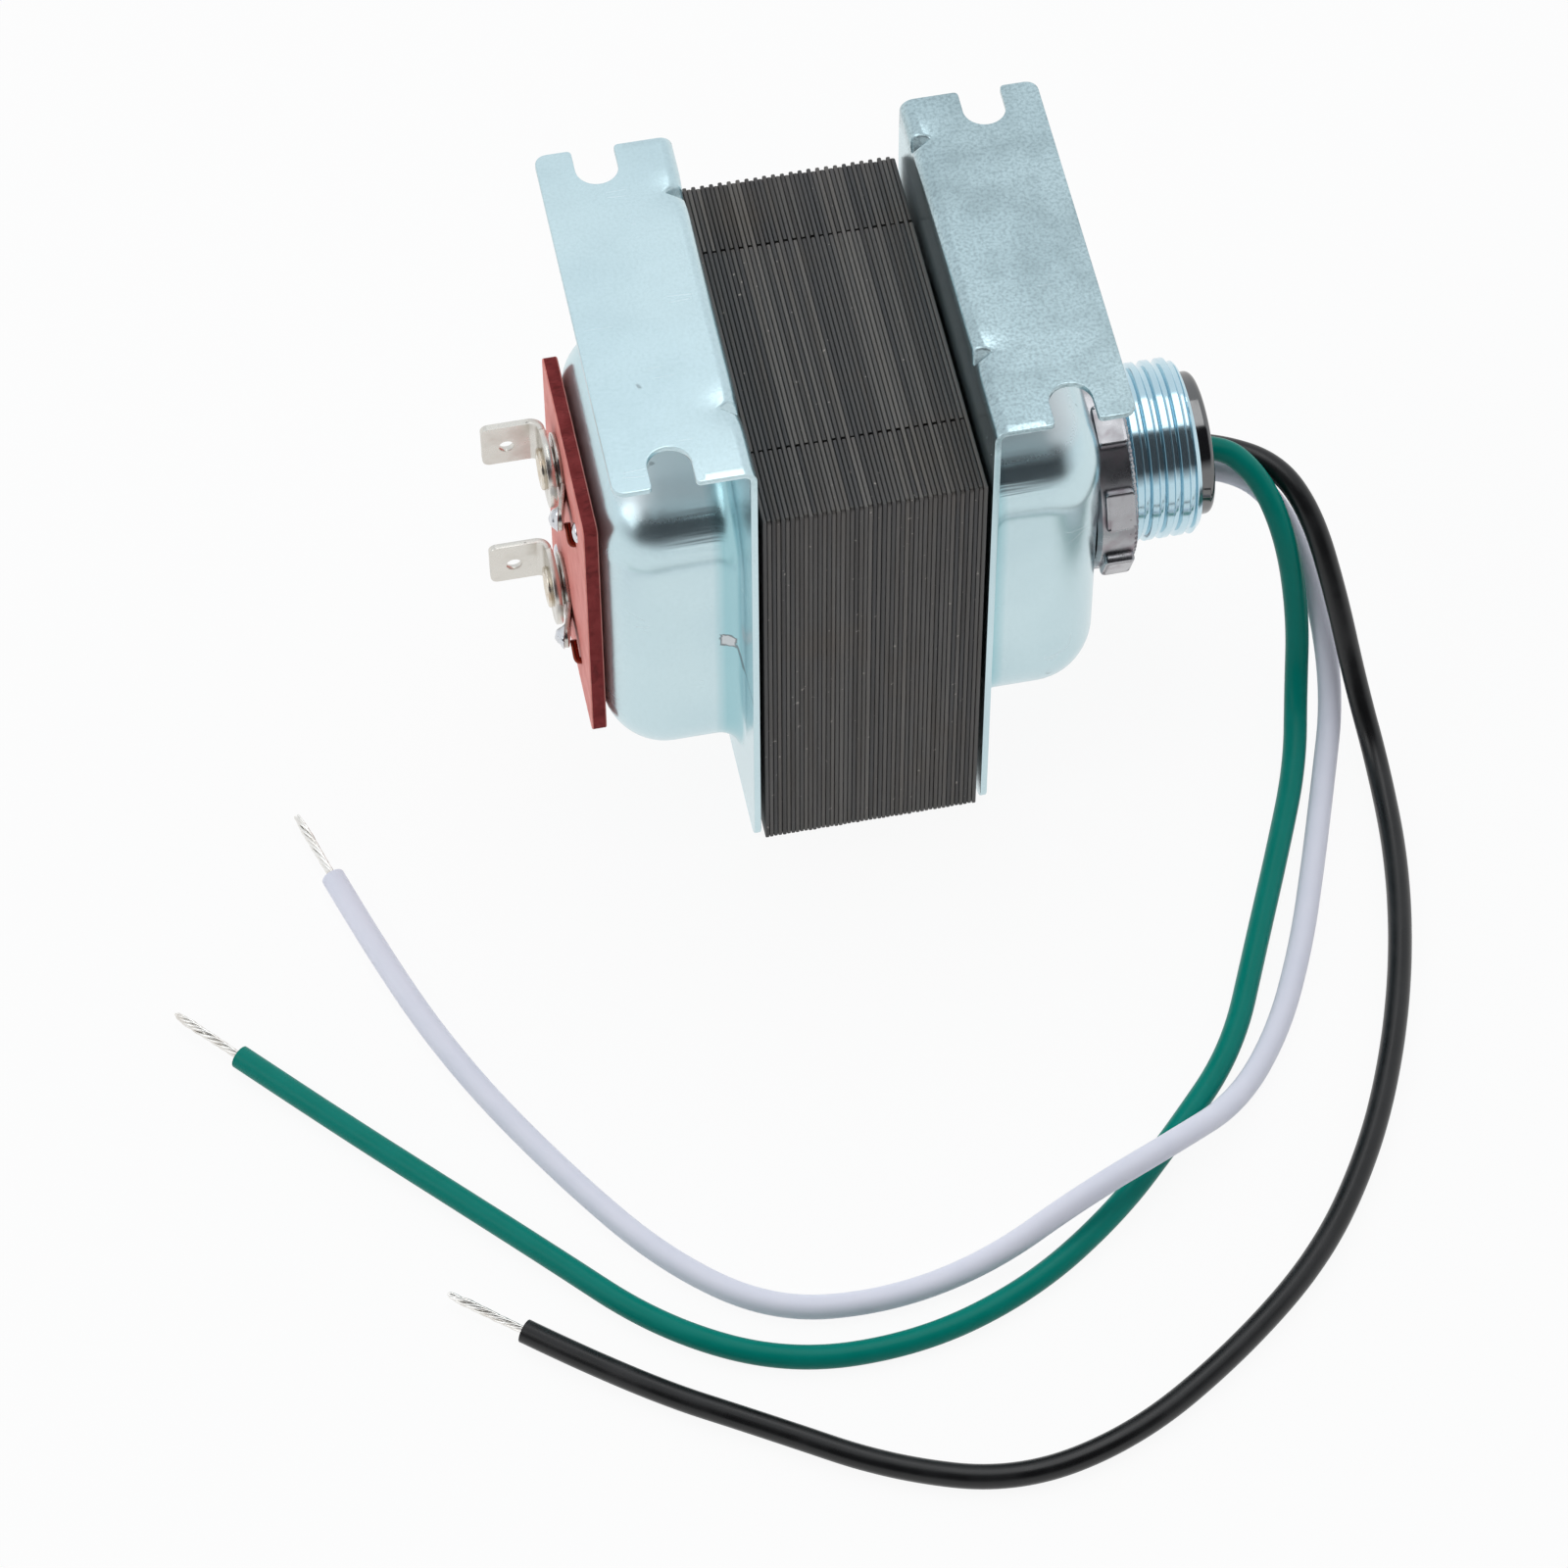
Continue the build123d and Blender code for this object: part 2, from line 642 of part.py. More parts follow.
# The conduit nipple stands in the hub bell's hole, with its flange inside the cup
hub_axis = Axis((0, 0, core_centre_z), (1, 0, 0))
hub_plane = Plane(origin=(0, 0, core_centre_z), x_dir=(1, 0, 0), z_dir=(0, -1, 0))
nipple_seat = cup_face - sheet
nipple_end = cup_face + nipple_end_gap
groove_half_width = thread_depth * tan(radians(thread_flank_angle))
groove_count = int(nipple_end_gap / thread_pitch)
with BuildPart() as hub_nipple:
    with BuildSketch(hub_plane):
        with BuildLine():
            Polyline(
                (nipple_seat - nipple_flange_thickness, nipple_bore_radius),
                (nipple_seat - nipple_flange_thickness, nipple_flange_radius),
                (nipple_seat - nipple_flange_bevel, nipple_flange_radius),
                (nipple_seat, thread_radius + nipple_flange_seat),
                (nipple_seat, thread_radius),
                (nipple_end - nipple_end_chamfer, thread_radius),
                (nipple_end, thread_radius - nipple_end_chamfer),
                (nipple_end, nipple_bore_radius),
                close=True,
            )
        make_face()
        for groove in range(groove_count):
            groove_x = cup_face + (groove + 0.5) * thread_pitch
            with BuildLine():
                Polyline(
                    (groove_x - groove_half_width, thread_radius),
                    (groove_x + groove_half_width, thread_radius),
                    (groove_x, thread_radius - thread_depth),
                    close=True,
                )
            make_face(mode=Mode.SUBTRACT)
    revolve(axis=hub_axis)
save(hub_nipple.part, "hub_nipple")

# The locknut has wrench lugs round its rim, and bears on the cup's face
with BuildPart() as locknut:
    with BuildSketch(Plane.YZ.offset(cup_face)):
        with Locations((0, core_centre_z)):
            Circle(locknut_radius)
    extrude(amount=locknut_thickness)
    chamfer(locknut.edges().filter_by(GeomType.CIRCLE), locknut_edge_chamfer)
    with BuildSketch(Plane.YZ.offset(cup_face + locknut_lug_start)):
        with Locations((0, core_centre_z)):
            with PolarLocations(0, locknut_lug_count, start_angle=180 / locknut_lug_count):
                Rectangle(locknut_lug_reach, locknut_lug_width, align=(Align.MIN, Align.CENTER))
            Circle(locknut_lug_reach, mode=Mode.INTERSECT)
    extrude(amount=locknut_lug_length)
    with BuildSketch(Plane.YZ.offset(cup_face)):
        with Locations((0, core_centre_z)):
            Circle(thread_radius)
    extrude(amount=locknut_thickness, mode=Mode.SUBTRACT)
save(locknut.part, "locknut")

# The insulating bushing lies in the nipple's mouth, with rounded lips
with BuildPart() as bushing:
    with BuildSketch(hub_plane) as bushing_profile:
        with BuildLine():
            Polyline(
                (nipple_end - bushing_body_length, bushing_bore_radius),
                (nipple_end - bushing_body_length, nipple_bore_radius - bushing_play),
                (nipple_end, nipple_bore_radius - bushing_play),
                (nipple_end, bushing_rim_radius),
                (nipple_end + bushing_rim_thickness, bushing_rim_radius),
                (nipple_end + bushing_rim_thickness, bushing_bore_radius),
                close=True,
            )
        make_face()
        fillet(bushing_profile.vertices().group_by(Axis.X)[-1], bushing_edge_radius)
    revolve(axis=hub_axis)
save(bushing.part, "bushing")


def wire(route, label):
    """An insulated lead along a route of straight runs and bends, and the plane of its free end."""
    points = [Vector(*point) for point in route]
    radii = []
    for before, corner, after in zip(points, points[1:], points[2:]):
        turn = radians((corner - before).get_angle(after - corner))
        shorter_run = min((corner - before).length, (after - corner).length)
        radii.append(bend_share * shorter_run / tan(turn / 2))
    with BuildPart() as lead:
        with BuildLine() as path:
            FilletPolyline(*points, radius=radii)
        with BuildSketch(Plane(origin=path.line @ 0, z_dir=path.line % 0)):
            Circle(wire_radius)
        sweep()
    save(lead.part, label)
    length = path.wires()[0].length
    volume_ratio = lead.part.volume / (pi * wire_radius**2 * length)
    print(label, "is", round(length, 1), "long, with a volume ratio of", round(volume_ratio, 4))
    print("its bend radii are", " ".join(str(round(radius, 1)) for radius in radii))
    return Plane(origin=path.line @ 1, z_dir=path.line % 1)


def strand(plane, length, label):
    """The bare, tinned strand at a lead's end."""
    with BuildPart() as bare:
        with BuildSketch(plane):
            Circle(strand_radius)
        extrude(amount=length)
    save(bare.part, label)
    return bare.part


for route, colour in ((black_route, "black"), (green_route, "green"), (white_route, "white")):
    free_end = wire(route, colour + "_wire")
    strand(free_end, stripped_length, colour + "_wire_end")

# The green lead's inner end is soldered to the back of the nipple's flange
ground_strand = strand(
    Plane(origin=green_route[0], z_dir=(0, -1, 0)), ground_strand_length, "ground_strand"
)
with BuildPart() as ground_solder:
    with Locations((nipple_seat - nipple_flange_thickness, -ground_solder_y, core_centre_z)):
        Sphere(ground_solder_radius)
    split(bisect_by=Plane.YZ.offset(nipple_seat - nipple_flange_thickness), keep=Keep.BOTTOM)
    add(ground_strand, mode=Mode.SUBTRACT)
save(ground_solder.part, "ground_solder")

# Closed-end splices join the black and white leads to the primary winding
for route, colour, outward in ((black_route, "black", 1), (white_route, "white", -1)):
    x, y, z = route[0]
    with BuildPart() as splice:
        with BuildSketch(Plane.XY.offset(z)):
            with Locations((x, y)):
                Circle(splice_radius)
        extrude(amount=outward * splice_length)
    save(splice.part, "splice_" + colour)
    with BuildPart() as primary_lead:
        with BuildLine() as path:
            FilletPolyline(
                (tube_outer_x / 2 + winding_build, y, z - outward * coil_lead_drop),
                (x - coil_lead_offset, y, z - outward * coil_lead_drop),
                (x - coil_lead_offset, y, z),
                radius=coil_lead_bend_radius,
            )
        with BuildSketch(Plane(origin=path.line @ 0, z_dir=path.line % 0)):
            Circle(coil_lead_radius)
        sweep()
    save(primary_lead.part, "primary_lead_" + colour)
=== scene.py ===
"""Visual model of the doorbell transformer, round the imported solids. Shapes are worked out in millimetres."""
import random
from math import atan2, cos, degrees, exp, hypot, pi, radians, sin, sqrt, tan

import bmesh
import bpy
from mathutils import Matrix, Vector, noise


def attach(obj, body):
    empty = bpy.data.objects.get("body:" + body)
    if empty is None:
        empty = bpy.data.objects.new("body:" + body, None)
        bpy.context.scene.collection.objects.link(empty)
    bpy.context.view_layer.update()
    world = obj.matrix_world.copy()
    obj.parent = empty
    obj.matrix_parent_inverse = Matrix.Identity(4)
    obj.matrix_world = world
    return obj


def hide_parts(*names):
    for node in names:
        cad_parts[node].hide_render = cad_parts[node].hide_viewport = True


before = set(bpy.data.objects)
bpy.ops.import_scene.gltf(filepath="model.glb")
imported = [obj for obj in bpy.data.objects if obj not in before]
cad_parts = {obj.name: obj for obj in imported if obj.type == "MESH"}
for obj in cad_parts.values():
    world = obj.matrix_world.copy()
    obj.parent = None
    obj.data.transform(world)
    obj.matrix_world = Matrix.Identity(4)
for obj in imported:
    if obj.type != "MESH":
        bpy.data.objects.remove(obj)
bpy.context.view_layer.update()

MM = 0.001
scene = bpy.context.scene

# Camera, solved from the core's edges in the photograph
AZIMUTH, ELEVATION, ROLL = radians(-11.218), radians(54.307), radians(-0.2786)
CAMERA_PLACE = Vector((-0.08847, -0.41819, 0.56832))
FOCAL_PIXELS, FRAME_PIXELS, SENSOR = 5997, 1600, 36.0
back = Vector((sin(AZIMUTH) * cos(ELEVATION), -cos(AZIMUTH) * cos(ELEVATION), sin(ELEVATION)))
level = Vector((cos(AZIMUTH), sin(AZIMUTH), 0))
rise = back.cross(level)
right = level * cos(ROLL) + rise * sin(ROLL)
upward = rise * cos(ROLL) - level * sin(ROLL)
camera_data = bpy.data.cameras.new("camera")
camera_data.sensor_width = SENSOR
camera_data.lens = SENSOR * FOCAL_PIXELS / FRAME_PIXELS
camera = bpy.data.objects.new("camera", camera_data)
camera.matrix_world = Matrix.Translation(CAMERA_PLACE) @ Matrix((right, upward, back)).transposed().to_4x4()
scene.collection.objects.link(camera)
scene.camera = camera
scene.view_settings.view_transform = "Standard"


# Node helpers
class Nodes:
    """A material's node tree, with short calls for its nodes."""

    def __init__(self, tree):
        self.tree = tree

    def add(self, kind, inputs=None, **settings):
        node = self.tree.nodes.new("ShaderNode" + kind)
        for name, value in settings.items():
            setattr(node, name, value)
        for name, value in (inputs or {}).items():
            self.put(node.inputs[name], value)
        return node

    def put(self, socket, value):
        if isinstance(value, bpy.types.NodeSocket):
            self.tree.links.new(value, socket)
        elif isinstance(value, bpy.types.Node):
            self.tree.links.new(value.outputs[0], socket)
        else:
            socket.default_value = value

    def place(self):
        return self.add("TexCoord").outputs["Object"]

    def stretched(self, scale, turn=(0, 0, 0)):
        return self.add("Mapping", {"Vector": self.place(), "Scale": scale, "Rotation": turn})

    def times(self, *factors):
        product = factors[0]
        for factor in factors[1:]:
            product = self.maths("MULTIPLY", product, factor)
        return product

    def away(self, value, middle):
        """How far a value is from a middle, either way."""
        return self.maths("ABSOLUTE", self.maths("SUBTRACT", value, middle))

    def noise(self, scale, detail=3.0, vector=None, distortion=0.0):
        vector = self.place() if vector is None else vector
        inputs = {"Vector": vector, "Scale": scale, "Detail": detail, "Distortion": distortion}
        return self.add("TexNoise", inputs).outputs["Fac"]

    def ramp(self, value, low, high, start=0.0, end=1.0):
        inputs = {"Value": value, "From Min": low, "From Max": high, "To Min": start, "To Max": end}
        return self.add("MapRange", inputs).outputs[0]

    def fall(self, value, low, high):
        return self.ramp(value, low, high, 1.0, 0.0)

    def maths(self, operation, *values):
        node = self.add("Math", operation=operation)
        for socket, value in zip(node.inputs, values):
            self.put(socket, value)
        return node.outputs[0]

    def mix(self, factor, first, second):
        node = self.add("Mix", data_type="RGBA")
        self.put(node.inputs[0], factor)
        self.put(node.inputs[6], first)
        self.put(node.inputs[7], second)
        return node.outputs[2]

    def bump(self, height, strength, distance, below=None):
        inputs = {"Height": height, "Strength": strength, "Distance": distance}
        if below is not None:
            inputs["Normal"] = below
        return self.add("Bump", inputs).outputs[0]


def colour(r, g, b):
    """A colour given as it shows on the screen, from 0 to 255."""
    linear = [((c / 255 + 0.055) / 1.055) ** 2.4 if c > 10 else c / 255 / 12.92 for c in (r, g, b)]
    return (*linear, 1.0)


def material(name):
    """A new material with one Principled shader, and its node helper."""
    made = bpy.data.materials.new(name)
    made.use_nodes = True
    return made, Nodes(made.node_tree), made.node_tree.nodes["Principled BSDF"]


def scratches(n, scale, thin, turn, cover, offset=0.0):
    """Sparse thin lines in one direction, as a factor from 0 to 1."""
    drawn_out = {"Vector": n.place(), "Scale": (0.06, 1, 1), "Rotation": turn,
                 "Location": (offset, offset, 0)}
    spots = n.noise(scale, 0.0, n.add("Mapping", drawn_out))
    line = n.fall(n.away(spots, 0.5), 0.0, thin)
    where = n.ramp(n.noise(scale * 0.35, 1.0), 1 - cover, 1 - cover + 0.04)
    return n.times(line, where)


# Bands in metres over which the zinc's look changes, by height and by distance from the middle of the core
ONTO_FOOT, BELOW_FOOT = (0.0655, 0.0672), (0.0660, 0.0664)
# STRIP_START and STRIP_END bound the painted highlight on the cup's top under the foot.
STRIP_START, STRIP_END = (0.0498, 0.0516), (0.0540, 0.0550)
CORNER_START, CORNER_END = (0.0452, 0.0475), (0.0510, 0.0520)
# ROOT_START and ROOT_END bound the painted teal shade on the cup's root fillet.
OFF_CORE, ROOT_START, ROOT_END = (0.0150, 0.0165), (0.0141, 0.0143), (0.0158, 0.0172)
UP_THE_CUP = (0.0175, 0.0232)


def zinc(name, tint, dull, roughness, grain, foot_grain=0.0):
    """Blue-white zinc plate: cloudy tint, fine grain that is coarser on a foot, a few scratches and pits, and a
    painted highlight on the cup's top under the foot.
    """
    made, n, shader = material(name)
    axes = n.add("SeparateXYZ", {"Vector": n.place()})
    height = axes.outputs[2]
    foot = n.ramp(height, *ONTO_FOOT)
    on_foot = n.times(foot, foot_grain)
    base = n.mix(n.ramp(n.noise(55.0, 2.0), 0.35, 0.65), colour(*tint), colour(*dull))
    base = n.mix(on_foot, base, colour(160, 182, 188))
    base = n.mix(n.times(n.ramp(n.noise(210.0, 3.0), 0.40, 0.70), on_foot), base, colour(128, 146, 150))
    speck = n.noise(2600.0, 3.0)
    cover = n.ramp(foot, 0.0, 1.0, grain, grain + foot_grain)
    base = n.mix(n.times(n.ramp(speck, 0.42, 0.66), cover), base, colour(104, 122, 128))
    off_core = n.ramp(n.maths("ABSOLUTE", axes.outputs[0]), *OFF_CORE)
    # Painted highlight: the strip of the cup's top under the foot is coloured near-white, standing in for light
    # reflected from the foot's underside.
    painted_highlight_under_foot = n.times(n.ramp(height, *STRIP_START), n.fall(height, *STRIP_END), off_core)
    base = n.mix(n.times(painted_highlight_under_foot, 0.85), base, colour(240, 246, 248))
    pits = n.ramp(n.noise(330.0, 2.0), 0.755, 0.78)
    base = n.mix(n.times(pits, 0.5), base, colour(110, 118, 120))
    lines = n.maths("MAXIMUM", scratches(n, 420.0, 0.010, (0, 0, 0.9), 0.33),
                    scratches(n, 500.0, 0.008, (0.5, 0.3, -0.5), 0.31, 3.0))
    base = n.mix(n.times(lines, 0.2), base, colour(225, 232, 236))
    n.put(shader.inputs["Base Color"], base)
    # Where the highlight is painted, the zinc is also made less metallic and rougher.
    n.put(shader.inputs["Metallic"], n.ramp(painted_highlight_under_foot, 0.0, 1.0, 0.92, 0.35))
    rough = n.ramp(speck, 0.3, 0.7, roughness - 0.02, roughness + 0.02)
    rough = n.maths("ADD", rough, n.times(painted_highlight_under_foot, 0.15))
    n.put(shader.inputs["Roughness"], n.maths("ADD", rough, n.times(lines, 0.1)))
    fine = n.bump(n.times(n.noise(3200.0, 1.0), cover), 0.4, 0.00004)
    wavy = n.bump(n.noise(110.0, 1.0), 0.08, 0.0004, fine)
    normal = n.bump(lines, 0.06, 0.00003, wavy)
    n.put(shader.inputs["Normal"], normal)
    return made, n, shader, base, normal


def handling_scuff(n, axes):
    """A scuffed patch on the cup's front side, and its outline with a bowed tail, as factors from 0 to 1."""
    patch_x, patch_z, tail_x, tail_z = -0.0156, 0.0308, -0.0140, 0.0287
    front = n.fall(axes.outputs[1], -0.0176, -0.0172)
    ragged = n.ramp(n.noise(1500.0, 2.0), 0.0, 1.0, -0.0004, 0.0004)
    off_x = n.maths("ADD", n.away(axes.outputs[0], patch_x), ragged)
    off_z = n.maths("SUBTRACT", n.away(axes.outputs[2], patch_z), ragged)
    far = n.maths("MAXIMUM", off_x, n.times(off_z, 0.85))
    outline = n.times(n.fall(far, 0.00085, 0.00095), n.ramp(far, 0.00060, 0.00072))
    patch = n.fall(far, 0.00075, 0.00085)
    bow = n.times(n.maths("POWER", n.ramp(axes.outputs[2], 0.0245, 0.0312), 2.0), -0.0009)
    stray = n.away(axes.outputs[0], n.maths("ADD", bow, tail_x))
    beyond = n.away(axes.outputs[2], tail_z)
    tail = n.times(n.fall(stray, 0.00008, 0.00016), n.fall(beyond, 0.0017, 0.0020))
    return n.times(patch, front), n.times(n.maths("MAXIMUM", outline, tail), front)


def bell_zinc(name, tint, dull, roughness, grain, foot_grain, side, scuffed):
    """Zinc plate for a bell: drawing marks at the cup's root, a painted teal shade along it, and handling
    scuffs.
    """
    made, n, shader, base, normal = zinc(name, tint, dull, roughness, grain, foot_grain)
    axes = n.add("SeparateXYZ", {"Vector": n.place()})
    depth = n.times(axes.outputs[0], float(side))
    height = axes.outputs[2]
    # Painted shade: the concave fillet at the cup's root is coloured a darker teal, standing in for the shade
    # in that crease.
    root = n.times(n.ramp(depth, *ROOT_START), n.fall(depth, *ROOT_END), n.fall(height, *BELOW_FOOT))
    base = n.mix(n.times(root, 0.55), base, colour(118, 186, 196))
    at_corner = n.times(n.ramp(height, *CORNER_START), n.fall(height, *CORNER_END))
    near_root = n.times(n.fall(depth, *UP_THE_CUP), n.ramp(depth, *OFF_CORE))
    draws = n.ramp(n.noise(1.0, 1.0, n.stretched((60, 60, 1900)), 0.2), 0.35, 0.65)
    normal = n.bump(n.times(near_root, at_corner, draws), 0.25, 0.00010, normal)
    if scuffed:
        patch, line = handling_scuff(n, axes)
        base = n.mix(n.times(patch, 0.8), base, colour(206, 204, 206))
        base = n.mix(n.times(line, 0.7), base, colour(96, 100, 102))
        normal = n.bump(n.maths("MAXIMUM", patch, line), 0.35, 0.00005, normal)
    n.put(shader.inputs["Base Color"], base)
    n.put(shader.inputs["Normal"], normal)
    return made


def lamination():
    """Varnished core plates: each plate has its own tone, with rolled streaks and dust."""
    made, n, shader = material("lamination")
    tone = n.add("Attribute", attribute_name="tone").outputs["Fac"]
    streak = n.noise(1.0, 3.0, n.stretched((900, 70, 70)))
    base = n.mix(tone, colour(67, 67, 68), colour(105, 102, 99))
    base = n.mix(n.ramp(streak, 0.45, 0.8, 0.0, 0.2), base, colour(106, 96, 86))
    rust = n.ramp(n.noise(55.0, 4.0), 0.58, 0.74, 0.0, 0.22)
    base = n.mix(rust, base, colour(98, 82, 62))
    dust = n.ramp(n.noise(1300.0, 1.0), 0.755, 0.785, 0.0, 0.7)
    base = n.mix(dust, base, colour(176, 170, 162))
    n.put(shader.inputs["Base Color"], base)
    shader.inputs["Metallic"].default_value = 0.35
    n.put(shader.inputs["Roughness"], n.ramp(streak, 0.3, 0.7, 0.42, 0.6))
    n.put(shader.inputs["Normal"], n.bump(n.noise(1800.0, 3.0), 0.35, 0.00004))
    return made


def fibre(name, light, dark, coarse, roughness, gloss):
    """Vulcanised fibre: mottled red with short fibres."""
    made, n, shader = material(name)
    mottle = n.noise(420.0, 4.0)
    fibres = n.noise(1.0, 3.0, n.stretched((700, 1600, 350)), 1.5)
    base = n.mix(n.ramp(mottle, 0.35, 0.7), colour(*light), colour(*dark))
    base = n.mix(n.ramp(fibres, 0.5, 0.8, 0.0, coarse), base, colour(92, 34, 34))
    n.put(shader.inputs["Base Color"], base)
    n.put(shader.inputs["Roughness"], n.ramp(mottle, 0.3, 0.7, roughness, roughness + 0.1))
    shader.inputs["IOR"].default_value = gloss
    mottled = n.bump(mottle, 0.2 * coarse, 0.0001)
    n.put(shader.inputs["Normal"], n.bump(fibres, 0.7 * coarse, 0.00015, mottled))
    return made


def tinned(name, tint, dull, roughness):
    """Bright tin or nickel plate with faint stains and handling marks."""
    made, n, shader = material(name)
    stain = n.noise(450.0, 3.0)
    base = n.mix(n.ramp(stain, 0.5, 0.75, 0.0, 0.8), colour(*tint), colour(*dull))
    pits = n.ramp(n.noise(1500.0, 1.0), 0.76, 0.79, 0.0, 0.5)
    base = n.mix(pits, base, colour(90, 84, 78))
    n.put(shader.inputs["Base Color"], base)
    shader.inputs["Metallic"].default_value = 1.0
    n.put(shader.inputs["Roughness"], n.ramp(stain, 0.3, 0.8, roughness - 0.06, roughness + 0.14))
    n.put(shader.inputs["Normal"], n.bump(n.noise(700.0, 2.0), 0.07, 0.0001))
    return made


def vinyl(name, tint, worn, roughness, shine):
    """Wire insulation: smooth vinyl with faint drag marks and dust."""
    made, n, shader = material(name)
    drag = n.noise(260.0, 3.0)
    base = n.mix(n.ramp(drag, 0.4, 0.8), colour(*tint), colour(*worn))
    n.put(shader.inputs["Base Color"], base)
    n.put(shader.inputs["Roughness"], n.ramp(drag, 0.3, 0.7, roughness, roughness + 0.12))
    shader.inputs["Specular IOR Level"].default_value = shine
    wavy = n.bump(n.noise(90.0, 1.0), 0.08, 0.0003)
    n.put(shader.inputs["Normal"], n.bump(n.noise(900.0, 2.0), 0.03, 0.00008, wavy))
    return made


def moulded(name, tint, roughness, gloss=1.5):
    """Moulded plastic or tape with a faint texture."""
    made, n, shader = material(name)
    grain = n.noise(800.0, 3.0)
    darker = colour(*[0.7 * c for c in tint])
    n.put(shader.inputs["Base Color"], n.mix(n.ramp(grain, 0.3, 0.7, 0.0, 0.25), colour(*tint), darker))
    n.put(shader.inputs["Roughness"], n.ramp(grain, 0.3, 0.7, roughness, roughness + 0.1))
    n.put(shader.inputs["Normal"], n.bump(grain, 0.1, 0.00005))
    shader.inputs["IOR"].default_value = gloss
    return made


LEFT_ZINC = bell_zinc("zinc_left", (207, 229, 234), (201, 224, 230), 0.25, 0.03, 0.05, -1, True)
RIGHT_ZINC = bell_zinc("zinc_right", (204, 226, 231), (194, 217, 223), 0.22, 0.03, 0.36, 1, False)
THREAD_ZINC = zinc("zinc_thread", (200, 226, 236), (186, 216, 228), 0.14, 0.02)[0]
NUT = tinned("plated_nut", (172, 172, 175), (152, 136, 143), 0.28)
LAMINATION = lamination()
# The board's face copy is the fibre's red plus a painted sheen from grazing light, so it is lighter; the edge
# copy keeps the darker red of the sheared fibre.
FIBRE_FACE_PAINTED_SHEEN = fibre("fibre_face_painted_sheen", (238, 148, 138), (226, 132, 123), 0.06, 0.5, 1.45)
FIBRE_EDGE = fibre("fibre_edge", (160, 64, 64), (136, 50, 50), 0.8, 0.8, 1.3)
TIN = tinned("tinned_metal", (218, 215, 208), (206, 201, 192), 0.28)
LUG_TIN = tinned("lug_tin", (200, 196, 190), (150, 124, 108), 0.24)
BRASS = tinned("eyelet_brass", (222, 214, 200), (198, 176, 150), 0.22)
SOLDER = tinned("solder", (214, 216, 220), (150, 150, 154), 0.14)
STRAND = tinned("tinned_strand", (240, 238, 234), (206, 198, 188), 0.24)
COPPER = tinned("enamelled_copper", (128, 52, 38), (92, 34, 28), 0.25)
BLACK_PLASTIC = moulded("black_plastic", (14, 14, 16), 0.05, 2.3)
BOBBIN = moulded("bobbin_plastic", (225, 222, 214), 0.5)
TAPE = moulded("coil_tape", (214, 190, 90), 0.4)
SLEEVE = moulded("splice_sleeve", (232, 230, 222), 0.45)
BLACK_VINYL = vinyl("black_vinyl", (18, 18, 19), (34, 34, 35), 0.26, 0.45)
GREEN_VINYL = vinyl("green_vinyl", (0, 132, 118), (4, 136, 123), 0.28, 0.14)
WHITE_VINYL = vinyl("white_vinyl", (242, 243, 255), (238, 240, 253), 0.38, 0.3)


# Mesh helpers, in millimetres
def finish_piece(name, bm, mats, replaced, angle=40):
    """Turn a bmesh in millimetres into a smooth-shaded piece that rides on the body."""
    bmesh.ops.recalc_face_normals(bm, faces=bm.faces[:])
    bmesh.ops.scale(bm, vec=(MM, MM, MM), verts=bm.verts[:])
    mesh = bpy.data.meshes.new(name)
    bm.to_mesh(mesh)
    bm.free()
    for mat in mats if isinstance(mats, (list, tuple)) else [mats]:
        mesh.materials.append(mat)
    mesh.shade_smooth()
    mesh.set_sharp_from_angle(angle=radians(angle))
    piece = bpy.data.objects.new(name, mesh)
    scene.collection.objects.link(piece)
    weighted = piece.modifiers.new("weighted", "WEIGHTED_NORMAL")
    weighted.keep_sharp = True
    weighted.weight = 90
    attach(piece, "root")
    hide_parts(*replaced)
    return piece


def arc(centre, radius, start, end, steps):
    """Points on an arc, its angles in degrees."""
    return [(centre[0] + radius * cos(radians(start + (end - start) * k / steps)),
             centre[1] + radius * sin(radians(start + (end - start) * k / steps))) for k in range(steps + 1)]


def circle(centre, radius, steps):
    return arc(centre, radius, 0, 360, steps)[:-1]


def fill(bm, edges):
    """Fill the plane between closed loops of edges with a few large faces."""
    made = bmesh.ops.triangle_fill(bm, use_beauty=True, edges=edges)["geom"]
    filled = [item for item in made if isinstance(item, bmesh.types.BMFace)]
    around = {edge for face in filled for edge in face.edges}
    inner = [edge for edge in around
             if len(edge.link_faces) == 2 and all(face in filled for face in edge.link_faces)]
    bmesh.ops.dissolve_limit(bm, angle_limit=0.01, use_dissolve_boundaries=False, verts=[], edges=inner)


def flat_skin(loops, cuts=()):
    """A flat face between loops of points, cut across at some values of its first coordinate."""
    bm = bmesh.new()
    for loop in loops:
        verts = [bm.verts.new((u, v, 0)) for u, v in loop]
        for pair in zip(verts, verts[1:] + verts[:1]):
            bm.edges.new(pair)
    fill(bm, bm.edges[:])
    for cut in cuts:
        everything = bm.verts[:] + bm.edges[:] + bm.faces[:]
        bmesh.ops.bisect_plane(bm, geom=everything, plane_co=(cut, 0, 0), plane_no=(1, 0, 0))
    return bm


